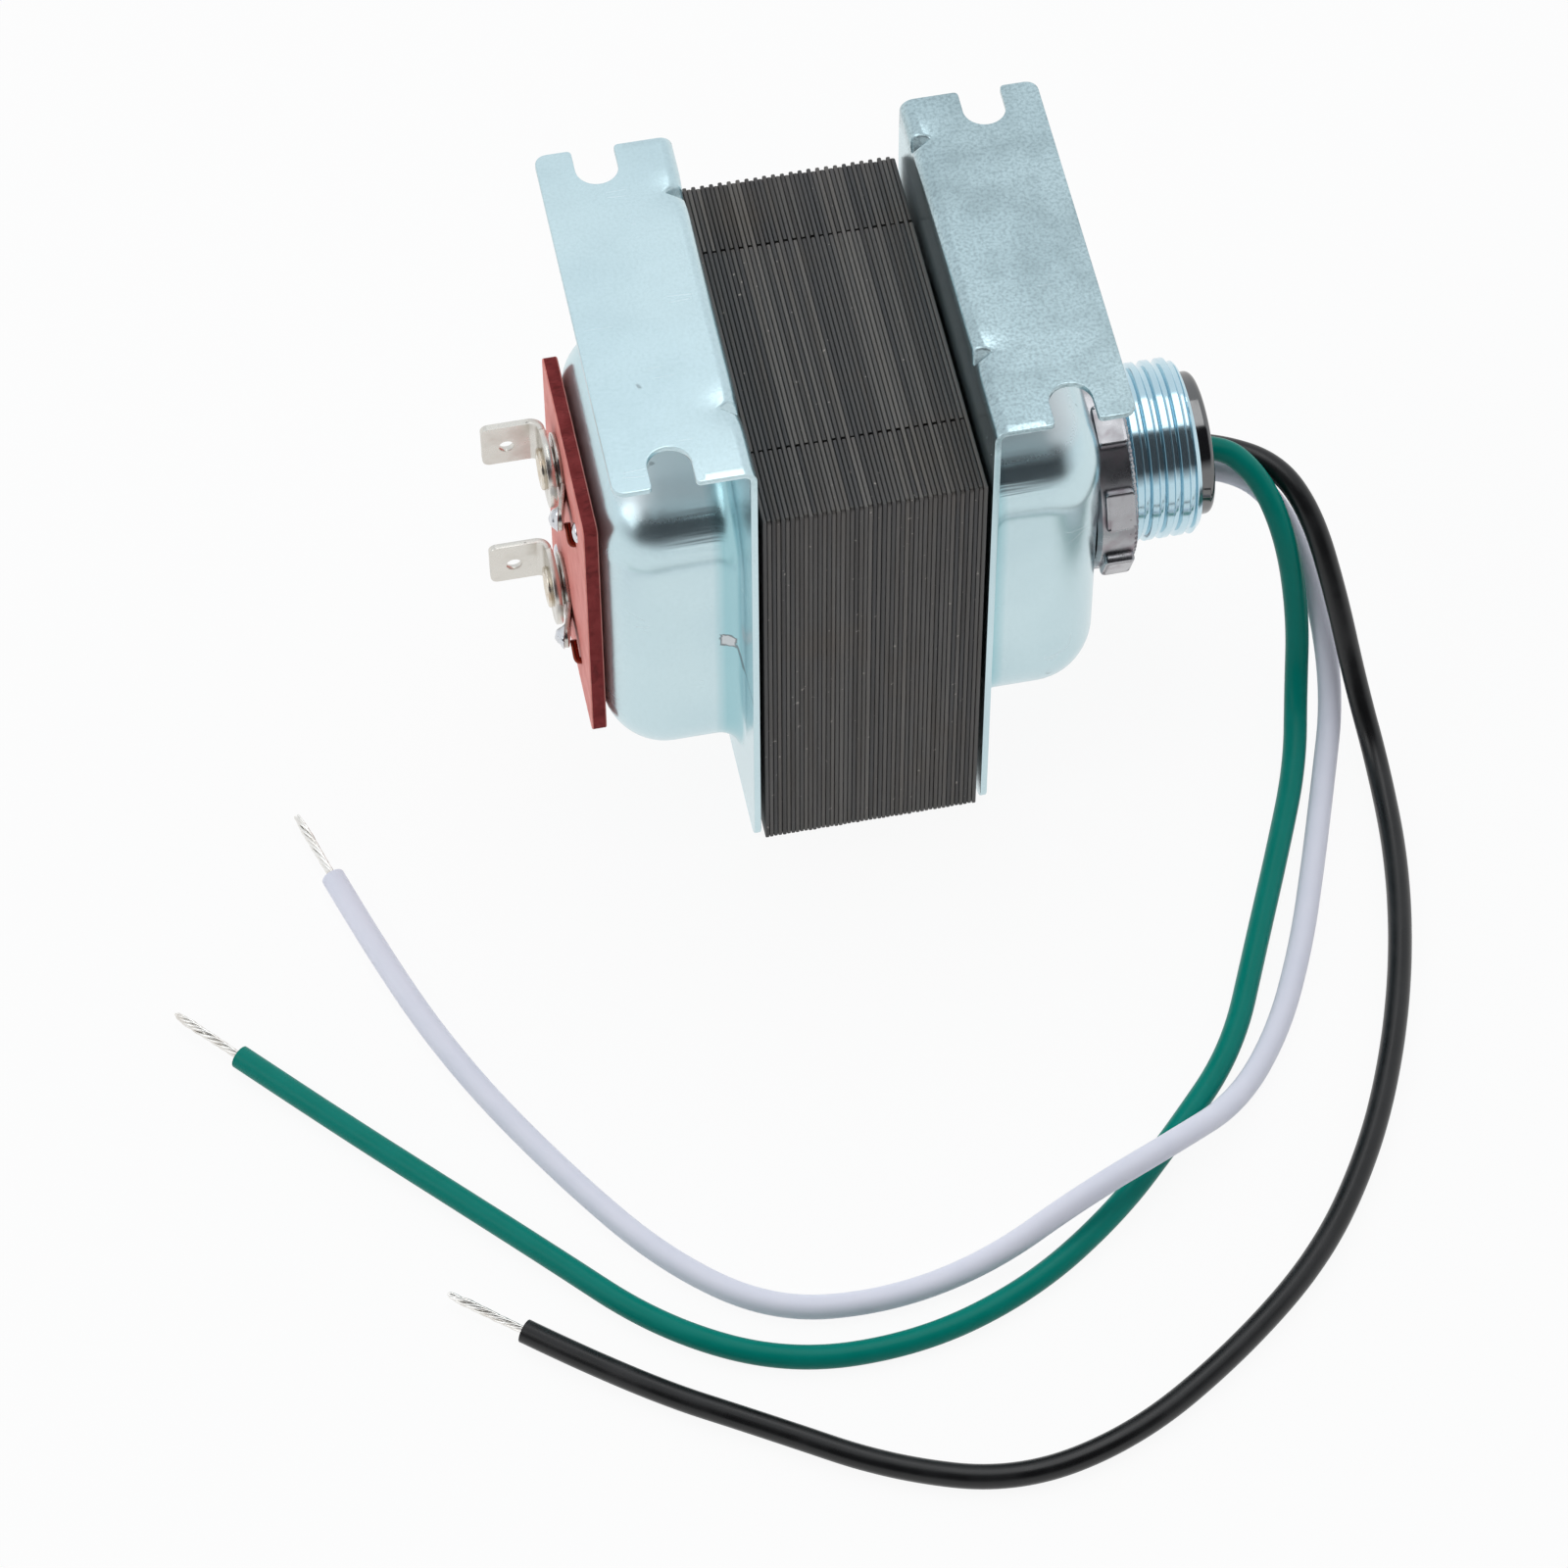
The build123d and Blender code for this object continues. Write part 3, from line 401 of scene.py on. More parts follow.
def thicken(bm, place, rounding, rim_material=0):
    """Give a skin its second side, with rounded rims. place(vertex) gives a front and a back point."""
    bmesh.ops.recalc_face_normals(bm, faces=bm.faces[:])
    rims = [edge for edge in bm.edges if edge.is_boundary]
    fronts = bm.faces[:]
    places = {vert: place(vert) for vert in bm.verts}
    twins = {vert: bm.verts.new(pair[1]) for vert, pair in places.items()}
    for face in fronts:
        bm.faces.new([twins[vert] for vert in reversed(face.verts)]).material_index = face.material_index
    rounded = list(rims)
    for edge in rims:
        a, b = edge.verts
        bm.faces.new((a, b, twins[b], twins[a])).material_index = rim_material
        rounded.append(bm.edges.get((twins[a], twins[b])))
    for vert, pair in places.items():
        vert.co = pair[0]
    bmesh.ops.recalc_face_normals(bm, faces=bm.faces[:])
    bmesh.ops.bevel(bm, geom=rounded, offset=rounding, segments=2, profile=0.5, affect="EDGES",
                    clamp_overlap=True)


def plate(bm_target, loops, thickness, rounding, put, cuts=(), rim_material=0):
    """Add a flat plate to a bmesh. put(u, v, w) places a point, where w runs through the thickness."""
    skin = flat_skin(loops, cuts)

    def both_sides(vert):
        u, v = vert.co.x, vert.co.y
        return put(u, v, 0.0), put(u, v, thickness)

    thicken(skin, both_sides, rounding, rim_material)
    join(bm_target, skin)


def join(target, other):
    """Add one bmesh to another."""
    mesh = bpy.data.meshes.new("part")
    other.to_mesh(mesh)
    other.free()
    target.from_mesh(mesh)
    bpy.data.meshes.remove(mesh)


def bridge(bm, rows, around=True):
    """Faces between rows of vertices, which are rings or open lines."""
    for first, second in zip(rows, rows[1:]):
        count = len(first)
        for k in range(count if around else count - 1):
            after = (k + 1) % count
            bm.faces.new((first[k], first[after], second[after], second[k]))


def lathe(bm, profile, steps, centre, radius_of=None, closed=True):
    """Revolve (x, radius) points round a line along X through centre (y, z)."""
    rings = []
    for index, (x, radius) in enumerate(profile):
        ring = []
        for k in range(steps):
            turn = 2 * pi * k / steps
            r = radius if radius_of is None else radius_of(index, k, radius)
            ring.append(bm.verts.new((x, centre[0] + r * cos(turn), centre[1] + r * sin(turn))))
        rings.append(ring)
    bridge(bm, rings + rings[:1] if closed else rings)
    return rings


def tube(name, points, radius, mat, smooth=12, sides=4):
    """A round tube along points in millimetres, with closed ends, that rides on the body."""
    curve = bpy.data.curves.new(name, "CURVE")
    curve.dimensions = "3D"
    spline = curve.splines.new("NURBS")
    spline.points.add(len(points) - 1)
    for point, (x, y, z) in zip(spline.points, points):
        point.co = (x * MM, y * MM, z * MM, 1)
    spline.order_u = 3
    spline.use_endpoint_u = True
    curve.resolution_u = smooth
    curve.bevel_depth = radius * MM
    curve.bevel_resolution = sides
    curve.use_fill_caps = True
    curve.materials.append(mat)
    piece = bpy.data.objects.new(name, curve)
    scene.collection.objects.link(piece)
    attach(piece, "root")
    return piece


def rounded_box(width, height, radius, centre, steps, runs=1):
    """A rounded rectangle, its straight sides divided into runs."""
    a, b = width / 2 - radius, height / 2 - radius
    side_ends = {0: (-a, b + radius), 90: (-a - radius, -b), 180: (a, -b - radius), 270: (a + radius, b)}
    points = []
    for (sy, sz), start in (((1, 1), 0), ((-1, 1), 90), ((-1, -1), 180), ((1, -1), 270)):
        corner = arc((centre[0] + sy * a, centre[1] + sz * b), radius, start, start + 90, steps)
        points += corner
        y, z = corner[-1]
        end_y, end_z = centre[0] + side_ends[start][0], centre[1] + side_ends[start][1]
        for k in range(1, runs):
            points.append((y + (end_y - y) * k / runs, z + (end_z - z) * k / runs))
    return points


# The bells, worked out for the hub's end and mirrored for the terminals' end
SHEET = 0.8
PLATES, PLATE, PLATE_PITCH = 49, 0.5, 0.52
STACK, CORE_HEIGHT, HALF_DEPTH, LEG = 25.46, 60, 25.0, 10
MIDDLE = CORE_HEIGHT / 2
FLANGE_FACE = STACK / 2 + 0.5 + SHEET
FLANGE_CORNER = 2
FOOT_TOP, FOOT_REACH, FOOT_CORNER = 69.2, 29.2, 1.4
CUP_WIDTH, CUP_HEIGHT, CUP_CORNER, CUP_SAG = 36, 44, 8.5, 1.0
CUP_DEPTH, CUP_WALL_START, CUP_EDGE, CUP_ROOT = 15.3, 7.8, 7.5, 2.6
CUP_FACE = FLANGE_FACE + CUP_DEPTH
DART_SIZE, DART_HALF, DART_SPACING = 2.3, 1.6, 32.1
SLOT_X, SLOT_R, SLOT_ROUND_Y, SLOT_MOUTH = 22.45, 2.45, 21.95, 0.5


def cup_ring(offset):
    """The cup's outline in the flange's plane, grown by an offset, and a little fuller at its lower side."""
    width, height = CUP_WIDTH + 2 * offset, CUP_HEIGHT + 2 * offset
    outline = rounded_box(width, height, CUP_CORNER + offset, (0, MIDDLE), 14, 8)
    return [(y, z - CUP_SAG * max(0, (MIDDLE - z) / (CUP_HEIGHT / 2))) for y, z in outline]


def cup_section():
    """The cup's section from root to end face: offset and x in front, then offset and x behind."""
    section = []
    for k in range(9):
        turn = radians(90 * k / 8)
        section.append((CUP_ROOT * (1 - sin(turn)), CUP_ROOT * (1 - cos(turn)),
                        CUP_ROOT - (CUP_ROOT + SHEET) * sin(turn), CUP_ROOT - (CUP_ROOT + SHEET) * cos(turn)))
    for x in (CUP_ROOT + 1.7, CUP_ROOT + 3.4):
        section.append((0.0, x, -SHEET, x))
    inner = CUP_EDGE - SHEET
    for k in range(15):
        turn = radians(90 * k / 14)
        section.append((-CUP_EDGE * (1 - cos(turn)), CUP_WALL_START + CUP_EDGE * sin(turn),
                        -CUP_EDGE + inner * cos(turn), CUP_WALL_START + inner * sin(turn)))
    return section


def bend_section():
    """The section from the flange round the bend onto the foot: x and z in front, then x and z behind."""
    step, start, centre = 0.25, 64.8, FOOT_TOP - 2 * SHEET
    section = [(FLANGE_FACE, start + step * k, FLANGE_FACE - SHEET, start + step * k) for k in range(11)]
    for k in range(9):
        turn = radians(90 * k / 8)
        section.append((FLANGE_FACE + SHEET * (1 - cos(turn)), centre + SHEET * sin(turn),
                        FLANGE_FACE + SHEET - 2 * SHEET * cos(turn), centre + 2 * SHEET * sin(turn)))
    for k in range(1, 18):
        x = FLANGE_FACE + SHEET + step * k
        section.append((x, FOOT_TOP - SHEET, x, FOOT_TOP))
    return section


def bend_row(darts):
    """Places along the bend, closer together at its darts."""
    row = [-HALF_DEPTH + k for k in range(int(2 * HALF_DEPTH) + 1)]
    row = [y for y in row if min(abs(y - dart) for dart in darts) > 2.5]
    row += [dart + 0.2 * k for dart in darts for k in range(-11, 12)]
    return sorted(row)


def dart_push(x, z, y, corner_x, corner_z, darts):
    """How far a point near the bend goes in where a dart is pressed, along the bend's diagonal."""
    near = min(abs(y - dart) for dart in darts)
    away = (x - corner_x) + (corner_z - z)
    gap = DART_SIZE * (1 - near / DART_HALF) - away
    crease = (gap + sqrt(gap * gap + 0.01)) / 4 if gap > -1.5 else 0.0
    dish = 0.22 * exp(-(near / 2.0) ** 2 - (away / 3.0) ** 2)
    return crease + dish


def foot_outline():
    """The foot's flat part beyond the bend, round by both slots."""
    inner, outer = SLOT_X - SLOT_R - SLOT_MOUTH, SLOT_X + SLOT_R + SLOT_MOUTH
    rim = HALF_DEPTH - SLOT_MOUTH
    side = [(inner, HALF_DEPTH)]
    side += arc((inner, rim), SLOT_MOUTH, 90, 0, 3)[1:]
    side += arc((SLOT_X, SLOT_ROUND_Y), SLOT_R, 180, 360, 24)
    side += arc((outer, rim), SLOT_MOUTH, 180, 90, 3)
    side += arc((FOOT_REACH - FOOT_CORNER, HALF_DEPTH - FOOT_CORNER), FOOT_CORNER, 90, 0, 6)
    return side + [(x, -y) for x, y in reversed(side)]


def bell(name, side, dart_centre, holes, mat, replaced, bumps_seed):
    """A bell: flange, drawn cup, bend with its pressed darts, and foot with two open slots."""
    bm = bmesh.new()
    pairs = {}

    def vert(face, behind):
        made = bm.verts.new(face)
        pairs[made] = (Vector(face), Vector(behind))
        return made

    def edges_of(loop):
        return [bm.edges.get(pair) or bm.edges.new(pair) for pair in zip(loop, loop[1:] + loop[:1])]

    loops = []
    for offset, x, offset_behind, x_behind in cup_section():
        loop = []
        for (y, z), (yb, zb) in zip(cup_ring(offset), cup_ring(offset_behind)):
            wave = 0.05 * noise.noise(Vector((y * 0.12 + bumps_seed, z * 0.12, x * 0.25))) * min(1, x / 4)
            loop.append(vert((FLANGE_FACE + x + wave, y, z), (FLANGE_FACE + x_behind + wave, yb, zb)))
        loops.append(loop)
    bridge(bm, loops)
    end_edges = edges_of(loops[-1])
    for hole in holes:
        end_edges += edges_of([vert((CUP_FACE, y, z), (CUP_FACE - SHEET, y, z)) for y, z in hole])
    fill(bm, end_edges)

    darts = [dart_centre - DART_SPACING / 2, dart_centre + DART_SPACING / 2]
    row = bend_row(darts)
    grid = []
    for x, z, xb, zb in bend_section():
        line = []
        for y in row:
            push = dart_push(x, z, y, FLANGE_FACE, FOOT_TOP - SHEET, darts)
            push_behind = dart_push(xb, zb, y, FLANGE_FACE - SHEET, FOOT_TOP, darts)
            line.append(vert((x + push, y, z - push), (xb + push_behind, y, zb - push_behind)))
        grid.append(line)
    bridge(bm, grid, around=False)

    lower = [(HALF_DEPTH, 40.0)]
    lower += arc((HALF_DEPTH - FLANGE_CORNER, FLANGE_CORNER), FLANGE_CORNER, 0, -90, 8)
    lower += [(-y, z) for y, z in reversed(lower)]
    flange = grid[0] + [vert((FLANGE_FACE, y, z), (FLANGE_FACE - SHEET, y, z)) for y, z in lower]
    fill(bm, edges_of(flange) + edges_of(loops[0]))
    foot = grid[-1] + [vert((x, y, FOOT_TOP - SHEET), (x, y, FOOT_TOP)) for x, y in foot_outline()]
    fill(bm, edges_of(foot))
    thicken(bm, lambda v: pairs[v], 0.12)
    if side < 0:
        bmesh.ops.scale(bm, vec=(-1, 1, 1), verts=bm.verts[:])
    return finish_piece(name, bm, mat, [replaced])


TERMINAL_Y = 3.0
TERMINALS = {"upper": 40.6, "lower": 18.4}
RIVETS = ((-7.7, 41.5), (8.8, 16.9))
HUB = (0.0, MIDDLE)
hub_hole = [circle(HUB, 10.25, 72)]
terminal_holes = [rounded_box(10.6, 10, 2, (0.7, z), 4) for z in TERMINALS.values()]
bell("bell_hub_side", 1, 2.85, hub_hole, RIGHT_ZINC, "hub_bell", 5.0)
bell("bell_terminal_side", -1, 0.9, terminal_holes, LEFT_ZINC, "terminal_bell", 11.0)

# The core
GAP, EDGE_EASE, NOTCH = 0.3, 0.9975, 0.45


def core_plates(name, replaced, outline, indices, seed, end_tone):
    """Stamped plates, each a little out of line with the next, with soft edges and a tone of its own."""
    draw = random.Random(seed)
    bm = bmesh.new()
    tones = []
    for index in indices:
        x = index * PLATE_PITCH - STACK / 2
        dy, dz = draw.uniform(-0.05, 0.05), draw.uniform(-0.07, 0.0)

        def put(u, v, w):
            off_floor = 0.07 if v < 1 else 0
            return (x + w, u * EDGE_EASE + dy, v + dz + off_floor)

        before = len(bm.faces)
        plate(bm, [outline], PLATE, 0.13, put)
        tones += [draw.random() ** 1.6] * (len(bm.faces) - before)
    layer = bm.faces.layers.float.new("tone")
    bm.faces.ensure_lookup_table()
    bm.normal_update()
    for face, tone in zip(bm.faces, tones):
        at_end = abs(face.normal.y) > 0.5
        face[layer] = 0.6 * tone + end_tone if at_end else tone
    finish_piece(name, bm, LAMINATION, [replaced], 50)


def e_outline(side):
    """An E plate: its back on one side, three legs towards the other."""
    back, root, tip = HALF_DEPTH, HALF_DEPTH - LEG, LEG - HALF_DEPTH + GAP
    points = [(back, 0), (back, 60), (tip, 60), (tip, 50), (root, 50), (root, 40), (tip, 40), (tip, 20),
              (root, 20), (root, 10), (tip, 10), (tip, 0)]
    return [(side * y, z) for y, z in points]


def i_outline(side):
    """An I bar, with one outer corner notched."""
    back, front, top = HALF_DEPTH, HALF_DEPTH - LEG, CORE_HEIGHT
    points = [(back, 0), (back, top - NOTCH), (back - NOTCH, top), (front, top), (front, 0)]
    return [(side * y, z) for y, z in points]


even, odd = range(0, PLATES, 2), range(1, PLATES, 2)
core_plates("core_e_front", "e_plates_front", e_outline(-1), even, 3, 0.0)
core_plates("core_i_rear", "i_bars_rear", i_outline(1), even, 5, 0.45)
core_plates("core_e_rear", "e_plates_rear", e_outline(1), odd, 7, 0.0)
core_plates("core_i_front", "i_bars_front", i_outline(-1), odd, 9, 0.45)


# The terminal board and what stands on it
BOARD, BOARD_WIDTH, BOARD_HEIGHT, BOARD_Z = 1.75, 26.6, 38, 29.4
LUG, COLLAR, TAB, EYE = 0.6, 0.45, 0.8, 1.5
BOARD_FACE = CUP_FACE + BOARD
LUG_FACE = BOARD_FACE + LUG
DISC_BACK = LUG_FACE + COLLAR
DISC_FACE = DISC_BACK + TAB
LEAD_Y, LEAD_DROP = -6.9, 2.2
TAB_DISC, TAB_REACH, TAB_ROOT_Y, BLADE = 4.6, 8.35, 7.3, 6.3
TAB_BEND, TAB_TIP = 0.9, 0.9
TAB_MID = TAB_BEND + TAB / 2
TAB_ARC = TAB_MID * pi / 2
LUG_RISE, LUG_ROOT, LUG_END = radians(14), -1.0, -6.0


def board():
    """The fibre board, with slightly ragged sheared edges."""
    ragged = []
    for y, z in rounded_box(BOARD_WIDTH, BOARD_HEIGHT, 1.0, (0, BOARD_Z), 5, 70):
        push = 0.18 * noise.noise(Vector((y * 0.9, z * 0.9, 4.0)))
        push += 0.14 * noise.noise(Vector((y * 2.2, z * 2.2, 9.0)))
        reach = hypot(y, z - BOARD_Z)
        ragged.append((y - abs(push) * y / reach, z - abs(push) * (z - BOARD_Z) / reach))
    loops = [ragged] + [circle((TERMINAL_Y, z), EYE, 32) for z in TERMINALS.values()]
    loops += [circle(place, 0.8, 20) for place in RIVETS]
    loops += [circle((LEAD_Y, z - LEAD_DROP), 0.5, 16) for z in TERMINALS.values()]
    bm = bmesh.new()
    plate(bm, loops, BOARD, 0.15, lambda u, v, w: (-BOARD_FACE + w, u, v), rim_material=1)
    finish_piece("board_red_fibre", bm, [FIBRE_FACE_PAINTED_SHEEN, FIBRE_EDGE], ["terminal_board"], 50)


def tab(suffix, height):
    """A quick-connect tab: a stamped strip whose disc lies on the eyelet and whose blade is bent out."""
    centre_y = TAB_ROOT_Y - TAB_BEND
    blade_end = TAB_ARC + BOARD_FACE + TAB_REACH - DISC_FACE - TAB_BEND
    disc_u = TERMINAL_Y - centre_y
    half = BLADE / 2
    reach = sqrt(TAB_DISC ** 2 - half ** 2)
    start = degrees(atan2(half, reach))
    outline = [(disc_u + reach, half)] + arc((disc_u, 0), TAB_DISC, start, 360 - start, 56)[1:]
    outline += arc((blade_end - TAB_TIP, -half + TAB_TIP), TAB_TIP, -90, 0, 6)
    outline += arc((blade_end - TAB_TIP, half - TAB_TIP), TAB_TIP, 0, 90, 6)
    loops = [outline, circle((disc_u, 0), EYE, 32), circle((blade_end - 2.9, -0.3), 0.9, 28)]

    def put(u, v, w):
        if u <= 0:
            return (-DISC_FACE + w, centre_y + u, height + v)
        if u >= TAB_ARC:
            return (-DISC_FACE - TAB_BEND - (u - TAB_ARC), TAB_ROOT_Y + w, height + v)
        turn = u / TAB_MID
        r = TAB_BEND + w
        return (-DISC_FACE - TAB_BEND + r * cos(turn), centre_y + r * sin(turn), height + v)

    bm = bmesh.new()
    plate(bm, loops, TAB, 0.13, put, [TAB_ARC * k / 10 for k in range(11)])
    bore, rim = 1.52, 2.4
    collar = [(-LUG_FACE, bore), (-LUG_FACE, rim - 0.1), (-LUG_FACE - 0.1, rim), (-DISC_BACK, rim),
              (-DISC_BACK, bore)]
    lathe(bm, collar, 40, (TERMINAL_Y, height))
    finish_piece("quick_tab_" + suffix, bm, TIN, ["tab_" + suffix], 35)


def lug(suffix, height):
    """A solder lug: a thin ring with a tail bent off the board."""
    disc, half = 4.0, 1.5
    tail = (LUG_ROOT - LUG_END) / cos(LUG_RISE)
    start = degrees(atan2(half, -sqrt(disc ** 2 - half ** 2)))
    outline = arc((TERMINAL_Y, 0), disc, start, -start, 52)
    outline += arc((LUG_ROOT - tail + half, 0), half, 270, 90, 14)

    def put(u, v, w):
        if u >= LUG_ROOT:
            return (-BOARD_FACE - w, u, height + v)
        t = LUG_ROOT - u
        return (-BOARD_FACE - t * sin(LUG_RISE) - w * cos(LUG_RISE),
                LUG_ROOT - t * cos(LUG_RISE) + w * sin(LUG_RISE), height + v)

    bm = bmesh.new()
    plate(bm, [outline, circle((TERMINAL_Y, 0), EYE, 32)], LUG, 0.12, put, [LUG_ROOT])
    finish_piece("solder_lug_" + suffix, bm, LUG_TIN, ["lug_" + suffix], 35)


def solder_drop(suffix, height, seed):
    """A solder drop on the lug's tail, uneven, with a wetted skirt."""
    y = -4.6
    seat = Vector((-LUG_FACE - (LUG_ROOT - y) * tan(LUG_RISE), y, height))
    turn = Vector((-cos(LUG_RISE), sin(LUG_RISE), 0)).to_track_quat("Z", "Y").to_matrix()
    bm = bmesh.new()
    bmesh.ops.create_icosphere(bm, subdivisions=4, radius=1.0)
    for vert in bm.verts:
        co = vert.co
        lump = 1 + 0.16 * noise.noise(co * 1.7 + Vector((seed, 0, 0)))
        z = co.z * 1.15 * lump if co.z > 0 else co.z * 0.06
        flare = 1 + 0.18 * max(0, 1 - abs(co.z) * 3)
        vert.co = seat + turn @ Vector((co.x * 1.25 * lump * flare, co.y * 1.35 * lump * flare, z))
    finish_piece("solder_drop_" + suffix, bm, SOLDER, ["lug_solder_" + suffix], 60)


def lead_hook(suffix, height):
    """The enamelled lead that comes out of the board and runs under the lug's tail."""
    path = ((-21.0, LEAD_Y, -LEAD_DROP), (-BOARD_FACE, LEAD_Y, -LEAD_DROP), (-BOARD_FACE - 0.5, -6.8, -2.1),
            (-BOARD_FACE - 0.55, -6.1, -1.2), (-BOARD_FACE - 0.6, -5.2, -0.2))
    piece = tube("lead_hook_" + suffix, [(x, y, height + z) for x, y, z in path], 0.4, COPPER)
    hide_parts("secondary_lead_" + suffix)


def eyelets():
    """Hollow eyelets, rolled over at both ends."""
    bore, outside, head, roll = 1.15, 1.48, 2.5, 0.3
    front, behind = -DISC_FACE, -CUP_FACE
    profile = [(front, outside), (front, head - 0.12)] + arc((front - roll, head - roll), roll, 60, 180, 6)
    profile += [(front - 0.6, 1.9), (front - 0.52, 1.45), (front - 0.25, bore)]
    profile += [(behind + 0.25, bore), (behind + 0.52, 1.45), (behind + 0.6, 1.9)]
    profile += arc((behind + roll, head - roll), roll, 0, 120, 6) + [(behind, head - 0.12), (behind, outside)]
    bm = bmesh.new()
    for height in TERMINALS.values():
        lathe(bm, profile, 44, (TERMINAL_Y, height))
    finish_piece("eyelets", bm, BRASS, ["terminal_eyelets"], 35)


def rivets():
    """The board's rivets, domed outside and headed inside."""
    rise, head, shank = 0.45, 1.2, 0.79
    inside = -CUP_FACE + SHEET
    dome = [(-BOARD_FACE - rise * cos(radians(a)), head * sin(radians(a))) for a in range(6, 91, 12)]
    tail = [(inside + rise * cos(radians(a)), head * sin(radians(a))) for a in range(90, 5, -12)]
    bm = bmesh.new()
    for place in RIVETS:
        rings = lathe(bm, dome + [(-BOARD_FACE, shank), (inside, shank)] + tail, 32, place, closed=False)
        bm.faces.new(rings[0])
        bm.faces.new(rings[-1])
    finish_piece("rivets", bm, SOLDER, ["board_rivets"], 35)


board()
for suffix, height in TERMINALS.items():
    tab(suffix, height)
    lug(suffix, height)
    solder_drop(suffix, height, height)
    lead_hook(suffix, height)
eyelets()
rivets()

# The conduit hub
PITCH, CREST, DEPTH = 1.814, 10.5, 0.6
NIPPLE_END = CUP_FACE + 13.1
NIPPLE_SEAT = CUP_FACE - SHEET
BORE = 7.9


def thread_radius(phase):
    """The thread's radius at a place in its pitch, from 0 to 1: crest flat, flanks and rounded root."""
    up = min(1.0, max(0.0, (abs(phase - 0.5) * 2 - 0.25) / 0.35))
    return CREST - DEPTH * (1 - up * up * (3 - 2 * up))


def nipple():
    """The threaded nipple: a helical thread that runs out at the chamfered end."""
    steps, per_pitch = 120, 20
    neck, end_r, flange, flange_back = 10.2, CREST - DEPTH * 1.1, 13.0, NIPPLE_SEAT - 1.6
    turns = int((NIPPLE_END - NIPPLE_SEAT) / PITCH) + 3
    bm = bmesh.new()
    rows = []
    for line in range(turns * per_pitch + 1):
        row = []
        for k in range(steps + 1):
            turn = k / steps
            x = min(max(NIPPLE_SEAT + PITCH * (line / per_pitch - 1 + turn), NIPPLE_SEAT), NIPPLE_END)
            r = neck if x < CUP_FACE else thread_radius((line / per_pitch) % 1.0)
            r = min(r, end_r + (NIPPLE_END - x) * 0.9)
            row.append(bm.verts.new((x, HUB[0] + r * cos(2 * pi * turn), HUB[1] - r * sin(2 * pi * turn))))
        rows.append(row)
    bridge(bm, rows, around=False)
    bmesh.ops.remove_doubles(bm, verts=bm.verts[:], dist=0.0005)
    bmesh.ops.dissolve_degenerate(bm, dist=0.0005, edges=bm.edges[:])
    ring = [(NIPPLE_END, end_r), (NIPPLE_END, BORE), (flange_back, BORE), (flange_back, flange),
            (NIPPLE_SEAT - 0.75, flange), (NIPPLE_SEAT, 10.7), (NIPPLE_SEAT, neck)]
    lathe(bm, ring, steps, HUB, closed=False)
    finish_piece("hub_thread", bm, THREAD_ZINC, ["hub_nipple"], 28)


def nut():
    """The locknut: a ring with wrench lugs and a finely toothed front rim."""
    bore, wide, teeth = 10.6, 12.7, 84
    lug_length, lug_width, lug_count = 3.6, 5.2, 8
    back, front = CUP_FACE, CUP_FACE + 4.9

    def toothed(index, k, radius):
        return radius - (0.35 if index in (5, 6, 7) and k % 4 in (0, 1) else 0.0)

    profile = [(back, bore), (back, 12.2), (back + 0.5, wide), (back + 2.2, wide), (front - 0.6, wide),
               (front - 0.35, 12.45), (front - 0.1, 12.3), (front, 12.0), (front, 11.2), (front - 0.5, bore)]
    bm = bmesh.new()
    lathe(bm, profile, teeth * 4, HUB, toothed)
    block = rounded_box(lug_length, lug_width, 0.5, (back + 0.8 + lug_length / 2, 0), 3)
    for k in range(lug_count):
        turn = radians(22.5 + 45 * k)

        def put(u, v, w):
            r = 12.3 + w - 0.035 * v * v
            return (u, HUB[0] + r * cos(turn) - v * sin(turn), HUB[1] + r * sin(turn) + v * cos(turn))

        plate(bm, [block], 1.5, 0.45, put)
    finish_piece("nut_conduit", bm, NUT, ["locknut"], 32)


def bush():
    """The black insulating bushing in the nipple's mouth."""
    bore, body, rim, edge = 4.4, 7.85, 8.5, 0.7
    back, lip = NIPPLE_END - 7, NIPPLE_END + 2.0
    profile = [(back, bore), (back, body), (NIPPLE_END, body), (NIPPLE_END, rim - 0.1),
               (NIPPLE_END + 0.1, rim)]
    profile += arc((lip - edge, rim - edge), edge, 90, 0, 6) + arc((lip - edge, bore + edge), edge, 0, -90, 6)
    bm = bmesh.new()
    lathe(bm, profile, 96, HUB)
    finish_piece("bush_black", bm, BLACK_PLASTIC, ["bushing"], 40)


nipple()
nut()
bush()

